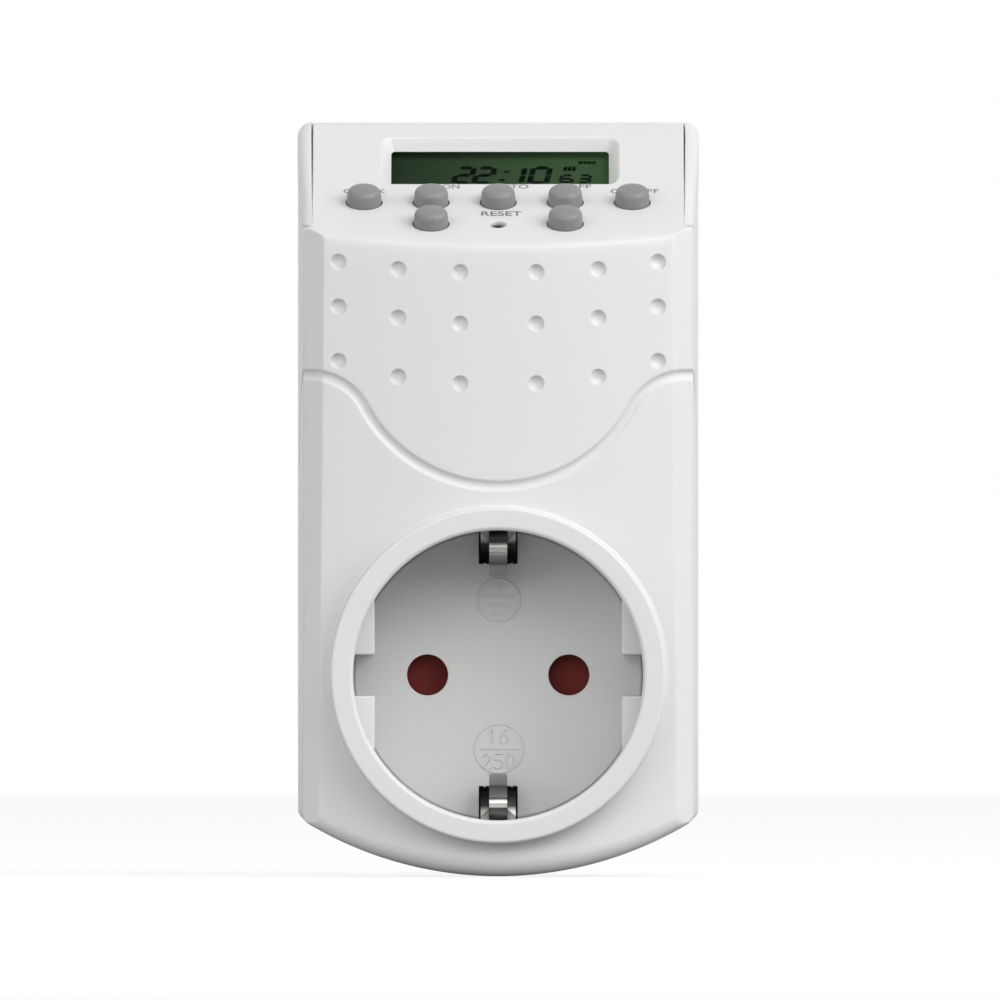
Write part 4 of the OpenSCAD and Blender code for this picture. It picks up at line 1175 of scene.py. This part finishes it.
def makeRearHousing():
    skin = newSkin()
    h, r = housing, rear
    base = rearAt(h["back"] - r["rounding"])
    levels = base[:, 2]
    isEar = levels > h["tip"]
    lift = np.clip((levels - (h["top"] - h["earCorner"])) / h["earCorner"], 0, 1) ** 2
    factor = 1 / math.sin(h["panelTilt"]) * (1 - lift) + 0.25 * lift
    earEnd = slopeDepth(levels) + factor * h["earRounding"]
    wallEnd = np.where(isEar, earEnd, seamDepth(levels) + r["seamGap"])
    wallEnd = np.minimum(wallEnd, h["back"] - r["rounding"] - 0.3)
    rows = [rearAt(h["back"] - r["rounding"] * (1 - math.cos(t)), r["rounding"] * (1 - math.sin(t)))
            for t in quarterTurn(6)]
    start = rows[-1][:, 1]
    rows += [rearAt(start + (wallEnd - start) * share) for share in (0.02, *np.linspace(0.08, 1, 14))]
    addRows(skin, rows, backwards, firstNormals=backwards)
    low = rows[-1][~isEar]
    addRows(skin, [low, low * [1 - h["wallInside"] / h["halfWidth"], 1, 1]], forwards)
    for side in (-1, 1):
        addEar(skin, side, base, rows[-1], isEar, factor)

    # the band between the ears, above the panel
    across = np.linspace(-h["earInside"], h["earInside"], 30)
    strip = [(h["back"] - r["rounding"] * (1 - math.cos(t)), h["top"] - r["rounding"] * (1 - math.sin(t)))
             for t in quarterTurn(6)]
    strip += [(r["topFront"] + 0.12, h["top"]), (r["topFront"] + 0.04, h["top"] - 0.03),
              (r["topFront"], h["top"] - 0.1), (r["topFront"], h["top"] - 1.5)]
    addRows(skin, [pointsOf(across, y, z) for y, z in strip], backwards, firstNormals=backwards)

    # the back face with the wells of the screws
    back = rearAt(h["back"], r["rounding"])[:, [0, 2]]
    outer = np.concatenate([back, pointsOf(across[1:-1], back[0, 1])])
    shape = [(r["headHole"] + a, d) for a, d in edgeShape(4, r["headEdge"])]
    shape += [(hole, h["back"] - r["headSeat"]) for hole in (r["headHole"], r["screwHole"])]
    holes = []
    for x, z in r["posts"]:
        for side in (-1, 1):
            well = [ringAt(a, h["back"] - d, fullTurn(40)) + [side * x, 0, z] for a, d in shape]
            for part in (well[:5], well[4:]):
                addRows(skin, part, backwards, closed=True, firstNormals=backwards)
            holes.append(circle(side * x, z, r["headHole"] + r["headEdge"], 40))
    limit = np.array([r["footFlat"], r["footLevel"]])
    holes.append(np.clip(circle(0, 0, r["footHole"], 90), -limit, limit))
    layers = [(baseGrid(3.0, (-26, -26), (26, 74)), 1.2)]
    addPatch(skin, outer, holes, layers, flatSheet(h["back"], backwards))
    return buildSkin(skin, "rearHousing")


def makePlugBody():
    r = rear
    radius, flat, rib = r["bodyRadius"], r["bodyFlat"], r["rib"]

    def arc(first, last, steps):
        return [(radius * math.cos(t), radius * math.sin(t)) for t in np.linspace(first, last, steps)]
    quarter = [(math.sqrt(radius ** 2 - rib ** 2), rib), (flat, rib)]
    quarter += arc(math.acos(flat / radius), math.acos(r["strapHalf"] / radius), 22)
    quarter += [(r["strapHalf"], r["strapLevel"])]
    ribArc = arc(-math.asin(rib / radius), math.asin(rib / radius), 7)[1:-1]
    profile = ribArc + quarter + [(-x, z) for x, z in quarter[::-1]] + [(-x, z) for x, z in ribArc[::-1]]
    profile += [(-x, -z) for x, z in quarter] + [(x, -z) for x, z in quarter[::-1]]
    bm = bmesh.new()
    prism(bm, profile, housing["back"] - 0.6, 0.0)
    corners = set(quarter[:3] + quarter[-2:])
    upright = [e for e in bm.edges if abs(e.verts[0].co.y - e.verts[1].co.y) > 0.001
               and any(math.hypot(abs(e.verts[0].co.x) / mm - x, abs(e.verts[0].co.z) / mm - z) < 0.01
                       for x, z in corners)]
    roundEdges(bm, upright, 0.3, 3)
    rim = [e for e in bm.edges if all(v.co.y > -0.0001 for v in e.verts)]
    roundEdges(bm, rim, r["chamfer"], 3, clamp_overlap=True)
    return smoothObject(bm, "plugBody")


finished(makeRearHousing(), "housing", "housing_white", "rear_housing")
finished(makePlugBody(), "housing", "housing_white")
print("rear housing is ready")


# Keys: flat rubber buttons with a rounded rim, each on its own press joint
# its sides are (how much wider than the radius, height), and then its rim turns inwards
keyShape = {"radius": 2.25, "sides": ((0.09, -1.9), (0.09, -0.2), (0.04, 0.8)), "shoulder": 1.22,
            "height": 2.24, "soft": 0.78, "rise": 0.84, "rimTurn": 1.25}


def makeKey(name, x, s):
    k = keyShape
    skin = newSkin()
    turn = fullTurn(56)
    shape = [(k["radius"] + wider, level) for wider, level in k["sides"]]
    for t in np.linspace(0, k["rimTurn"], 9):
        shape.append((k["radius"] - k["soft"] * (1 - math.cos(t)), k["shoulder"] + k["rise"] * math.sin(t)))
    inner, low = shape[-1]
    for share in np.linspace(0.1, 1, 9):
        shape.append((max(inner * (1 - share), 0.002), k["height"] - (k["height"] - low) * (1 - share) ** 2))
    rows = [panelPoint(x + r * np.cos(turn), s + r * np.sin(turn), h) for r, h in shape]
    addRows(skin, rows, rows[0] - panelPoint(x, s, shape[0][1]), closed=True)
    return buildSkin(skin, name)


for key, centre in keyCentres.items():
    name = "key" + key.title().replace("_", "")
    finished(makeKey(name, *centre), key + "_key", "key_grey", "key_" + key)
print("keys are ready")


# Earth clips: one bent strip of nickelled bronze on each side of the socket, with painted shade and highlight
# on the strips, and dark sheets behind as painted shadow in the slots
clip = {
    "tongueHalf": 1.2,
    "tongue": ((-41.5, 20.5), (-42.5, 20.3), (-49.4, 18.7), (-50.5, 18.4), (-51.1, 18.0), (-51.4, 17.5),
               (-51.42, 17.1), (-51.25, 16.75), (-50.9, 16.45), (-50.3, 16.1), (-46.6, 14.25), (-44.8, 13.5),
               (-43.6, 13.25), (-42.2, 13.5), (-40.2, 15), (-40.5, 15.3), (-42.4, 13.95), (-43.6, 13.7),
               (-44.7, 13.95), (-46.3, 14.7), (-50.2, 16.65), (-50.7, 17.0), (-50.85, 17.4), (-50.5, 17.8),
               (-49.6, 18.15), (-42.3, 19.8), (-41.5, 19.9)),
    "wings": (((1.25, -41.0, 15.6), (2.35, -41.0, 15.6)), ((1.25, -42.0, 18.0), (2.35, -42.0, 18.9)),
              ((1.25, -44.5, 18.7), (2.35, -44.5, 19.5)), ((1.25, -46.0, 19.9), (2.35, -46.0, 19.9))),
    "wingBack": (0.0, 0.3, 0.35), "armHalf": 2.35, "armFront": -42.0, "armIn": 19.7,
    "baseFront": -31.0, "baseBack": -30.2, "baseTop": 20.5, "postHole": 1.25, "edge": 0.07,
    "shadowSheet": {"half": 2.6, "low": 14.92, "high": 20.78, "front": -37.0, "back": -32.0},
}


def makeEarthClip(name, up):
    bm = bmesh.new()
    prism(bm, [(y, up * z) for y, z in clip["tongue"]], -clip["tongueHalf"], clip["tongueHalf"], axis=0)
    roundCorners(bm, clip["edge"])
    return smoothObject(bm, name)


def makeClipWings(name, up):
    # leaning plates beside a tongue, deep in the slot
    bm = bmesh.new()
    for side in (-1, 1):
        front, back = [], []
        for row in clip["wings"]:
            for rows, offset in ((front, (0, 0, 0)), (back, clip["wingBack"])):
                rows.append(addLoop(bm, (np.array(row) + offset) * [side, 1, up]))
        for i in range(len(front) - 1):
            for sheet in (front, back):
                bm.faces.new([sheet[i][0], sheet[i][1], sheet[i + 1][1], sheet[i + 1][0]])
            for j in (0, 1):
                bm.faces.new([front[i][j], front[i + 1][j], back[i + 1][j], back[i][j]])
        for i in (0, -1):
            bm.faces.new([front[i][0], front[i][1], back[i][1], back[i][0]])
    front, back, low, high = clip["armFront"], clip["baseBack"], up * clip["armIn"], up * clip["baseTop"]
    arm = [(front, low), (back, low), (back, high), (front, high)]
    prism(bm, arm, -clip["armHalf"], clip["armHalf"], axis=0)
    roundCorners(bm, clip["edge"])
    return smoothObject(bm, name)


def makeEarthBase():
    # the strip that joins both clips behind the socket, with the earth post's hole
    skin = newSkin()
    half, top = clip["armHalf"], clip["baseTop"]
    ends = clip["baseFront"], clip["baseBack"]
    outer = np.array([(half, -top), (half, top), (-half, top), (-half, -top)])
    hole = circle(0, 0, clip["postHole"], 32)
    for y, normal in zip(ends, (forwards, backwards)):
        addPatch(skin, outer, [hole], [], flatSheet(y, normal))
    addWall(skin, np.concatenate([outer, outer[:1]]), ends)
    addWall(skin, np.concatenate([hole, hole[:1]])[::-1], ends)
    return buildSkin(skin, "earthBase")


def makeSlotShadow(name, up):
    # painted shadow: dark walls put in the shaft behind an earth slot, where there is only shade
    bm = bmesh.new()
    c = clip["shadowSheet"]
    ring = [(c["half"], c["low"]), (c["half"], c["high"]), (-c["half"], c["high"]), (-c["half"], c["low"])]
    near, far = (addLoop(bm, [(x, y, up * z) for x, z in ring]) for y in (c["front"], c["back"]))
    addBridge(bm, near, far)
    bm.faces.new(far)
    return smoothObject(bm, name)


for up, place in ((1, "Upper"), (-1, "Lower")):
    finished(makeEarthClip("earthClip" + place, up), "housing", "paintedLitTongue")
    finished(makeClipWings("clipWings" + place, up), "housing", "shaded")
    finished(makeSlotShadow("slotShadow" + place, up), "housing", "part_black")
finished(makeEarthBase(), "housing", "nickel", "socket_earth_bracket")
print("earth clips are ready")


# Printed words on the panel: middle, width and the distance down the panel of each, cap height in mm
labels = {
    "CLOCK": (-17.97, 5.64, 22.27, 1.3), "ON": (-6.35, 2.26, 20.82, 1.3), "AUTO": (1.57, 5.03, 20.82, 1.3),
    "OFF": (10.85, 3.3, 20.82, 1.3), "ON/OFF": (18.33, 6.47, 22.27, 1.3), "RESET": (0.43, 5.42, 29.53, 1.45),
}


def wordMesh(word, bold=0.006):
    # a word in a box from -0.5 to 0.5
    curve = bpy.data.curves.new(word, "FONT")
    curve.body, curve.offset, curve.resolution_u = word, bold, 6
    holder = makeObject(word, curve)
    mesh = bpy.data.meshes.new_from_object(holder.evaluated_get(bpy.context.evaluated_depsgraph_get()))
    bpy.data.objects.remove(holder)
    points = np.array([v.co[:2] for v in mesh.vertices])
    low, high = points.min(axis=0), points.max(axis=0)
    return (points - (low + high) / 2) / (high - low), [tuple(p.vertices) for p in mesh.polygons]


def joined(name, parts):
    points, faces = [], []
    for more, loops in parts:
        faces += [[v + len(points) for v in loop] for loop in loops]
        points += [tuple(Vector(p) * mm) for p in more]
    mesh = bpy.data.meshes.new(name)
    mesh.from_pydata(points, [], faces)
    return makeObject(name, mesh)


def makePanelWords():
    parts = []
    for word, (x, width, s, height) in labels.items():
        points, faces = wordMesh(word)
        parts.append((panelPoint(x + points[:, 0] * width, s - points[:, 1] * height, 0.015), faces))
    return joined("panelWords", parts)


# Digits of the display: seven bars each, as (bar name: across, down) in units of the digit's box
digitBars = {"a": ((0, 0), (1, 0)), "b": ((1, 0), (1, 0.5)), "c": ((1, 0.5), (1, 1)), "d": ((0, 1), (1, 1)),
             "e": ((0, 0.5), (0, 1)), "f": ((0, 0), (0, 0.5)), "g": ((0, 0.5), (1, 0.5))}
digitShapes = {"2": "abged", "1": "bc", "0": "abcdef", "3": "abgcd", "6": "afgcde"}
readout = {
    "height": -2.86, "slant": 0.118, "upright": 13.35, "corners": ((-1, -1), (1, -1), (1, 1), (-1, 1)),
    "digits": (("2", -6.0, 2.2, 8.5, 13.3, 0.78), ("2", -3.25, 2.2, 8.5, 13.3, 0.78),
               ("1", 0.85, 2.2, 8.5, 13.3, 0.78), ("0", 4.2, 2.25, 8.5, 13.3, 0.78),
               ("6", 8.3, 1.5, 10.9, 13.2, 0.48), ("3", 10.65, 1.5, 10.9, 13.2, 0.48)),
    "bars": ((0.7, 9.75, 0.7, 0.7), (0.4, 12.4, 0.7, 0.7), (10.3, 6.8, 0.5, 0.9), (10.9, 6.8, 0.45, 0.9),
             (11.5, 6.8, 0.5, 0.9), (12.1, 6.8, 0.45, 0.9), (8.5, 8.8, 0.5, 1.3), (9.1, 8.8, 0.5, 1.3),
             (9.7, 8.8, 0.5, 1.3)),
}


def barRing(start, end, weight):
    # a bar with blunt pointed ends, level or upright
    (px, ps), (qx, qs) = start, end
    if ps == qs:
        inset = weight * 0.62
        px, qx, half = px + inset * 0.6, qx - inset * 0.6, weight / 2 * 1.35
        blunt = half * 0.35
        return [(px, ps), (px + blunt, ps - half), (qx - blunt, qs - half), (qx, qs), (qx - blunt, qs + half),
                (px + blunt, ps + half)]
    ps, qs, half = ps + 0.08, qs - 0.08, weight / 2
    blunt = half * 0.3
    return [(px, ps), (px + half, ps + blunt), (px + half, qs - blunt), (qx, qs), (px - half, qs - blunt),
            (px - half, ps + blunt)]


def makeReadout():
    rings = []
    for shape, x, width, top, low, weight in readout["digits"]:
        for bar in digitShapes[shape]:
            start, end = [(x + a * width, top + b * (low - top)) for a, b in digitBars[bar]]
            rings.append(barRing(start, end, weight))
    for x, s, width, height in readout["bars"]:
        rings.append([(x + a * width / 2, s + b * height / 2) for a, b in readout["corners"]])
    parts = []
    for ring in rings:
        x, s = np.array(ring).T
        x = x + (readout["upright"] - s) * readout["slant"]
        parts.append((panelPoint(x, s, readout["height"]), [list(range(len(ring)))]))
    return joined("displayDigits", parts)


finished(makePanelWords(), "housing", "printed")
finished(makeReadout(), "housing", "segment")
print("lettering is ready")


# Marks raised on the socket's floor: the protective earth sign, and a ring with two plain numbers.
# A ring is (x, z, radius, points, width) and a line is (start, end, points, width). A number is
# (left, low, width, height, step, line width), with its strokes in units of each digit's box.
marks = {
    "rise": 0.15, "sink": 0.004,
    "profile": ((-1, 0.0), (-0.75, 0.6), (-0.35, 1.0), (0.35, 1.0), (0.75, 0.6), (1, 0.0)),
    "rings": ((0.05, 10.0, 2.87, 72, 0.34), (0.08, -9.88, 3.285, 80, 0.3)),
    "lines": (((0.13, 12.3), (0.13, 10.5), 6, 0.5), ((-2.13, 10.47), (2.13, 10.47), 6, 0.42),
              ((-1.45, 9.38), (1.45, 9.38), 6, 0.4), ((-0.63, 8.2), (0.63, 8.2), 6, 0.4),
              ((-2.45, -9.93), (2.95, -9.93), 8, 0.26)),
    "numbers": {"16": (-1.4, -9.26, 1.25, 2.0, 1.5, 0.28), "250": (-2.13, -12.56, 1.2, 1.95, 1.55, 0.28)},
    "strokes": {
        "1": [(0.15, 0.78), (0.55, 1.0), (0.55, 0.0)],
        "6": [(0.85, 0.95), (0.5, 0.98), (0.2, 0.75), (0.08, 0.4), (0.15, 0.12), (0.5, 0.0), (0.85, 0.12),
              (0.92, 0.36), (0.75, 0.56), (0.45, 0.6), (0.12, 0.45)],
        "2": [(0.08, 0.78), (0.25, 0.97), (0.6, 0.98), (0.85, 0.78), (0.75, 0.52), (0.08, 0.0), (0.95, 0.0)],
        "5": [(0.88, 1.0), (0.18, 1.0), (0.12, 0.55), (0.5, 0.64), (0.85, 0.52), (0.92, 0.28), (0.7, 0.04),
              (0.35, 0.0), (0.06, 0.14)],
        "0": [(0.5, 1.0), (0.2, 0.88), (0.08, 0.5), (0.2, 0.12), (0.5, 0.0), (0.8, 0.12), (0.92, 0.5),
              (0.8, 0.88), (0.5, 1.0)],
    },
}


def addRidge(skin, points, width, closed=False):
    # a low rounded ridge along a path on the floor
    points = np.asarray(points, float)
    along = alongRows(points, closed, 0)
    across = pointsOf(-along[:, 1], along[:, 0])
    across /= np.linalg.norm(across, axis=1, keepdims=True)
    rows = []
    for off, up in marks["profile"]:
        flat = points + across * off * width / 2
        rows.append(pointsOf(flat[:, 0], socket["floor"] - marks["sink"] - up * marks["rise"], flat[:, 1]))
    addRows(skin, rows, forwards, closed=closed)


def makeFloorMarks():
    skin = newSkin()
    for x, z, r, count, width in marks["rings"]:
        addRidge(skin, circle(x, z, r, count), width, closed=True)
    for start, end, count, width in marks["lines"]:
        addRidge(skin, np.linspace(start, end, count), width)
    for text, (left, low, width, height, step, line) in marks["numbers"].items():
        for i, digit in enumerate(text):
            path = [(left + i * step + a * width, low + b * height) for a, b in marks["strokes"][digit]]
            addRidge(skin, path, line)
    return buildSkin(skin, "floorMarks")


finished(makeFloorMarks(), "housing", "housing_white")
print("socket marks are ready")


# Every CAD node that is carried over gets the finish of its slot, apart from these
finishes = {"display_window": "window_clear", "shutter_rotor": "shutter_red"}
for name, node in frame["nodes"].items():
    node.data.materials.clear()
    node.data.materials.append(materials[finishes.get(name, slots[name])])
    node.data.polygons.foreach_set("use_smooth", [True] * len(node.data.polygons))
    node.data.set_sharp_from_angle(angle=math.radians(30))
print("carried pieces are ready")

bpy.context.scene.view_settings.view_transform = "Standard"
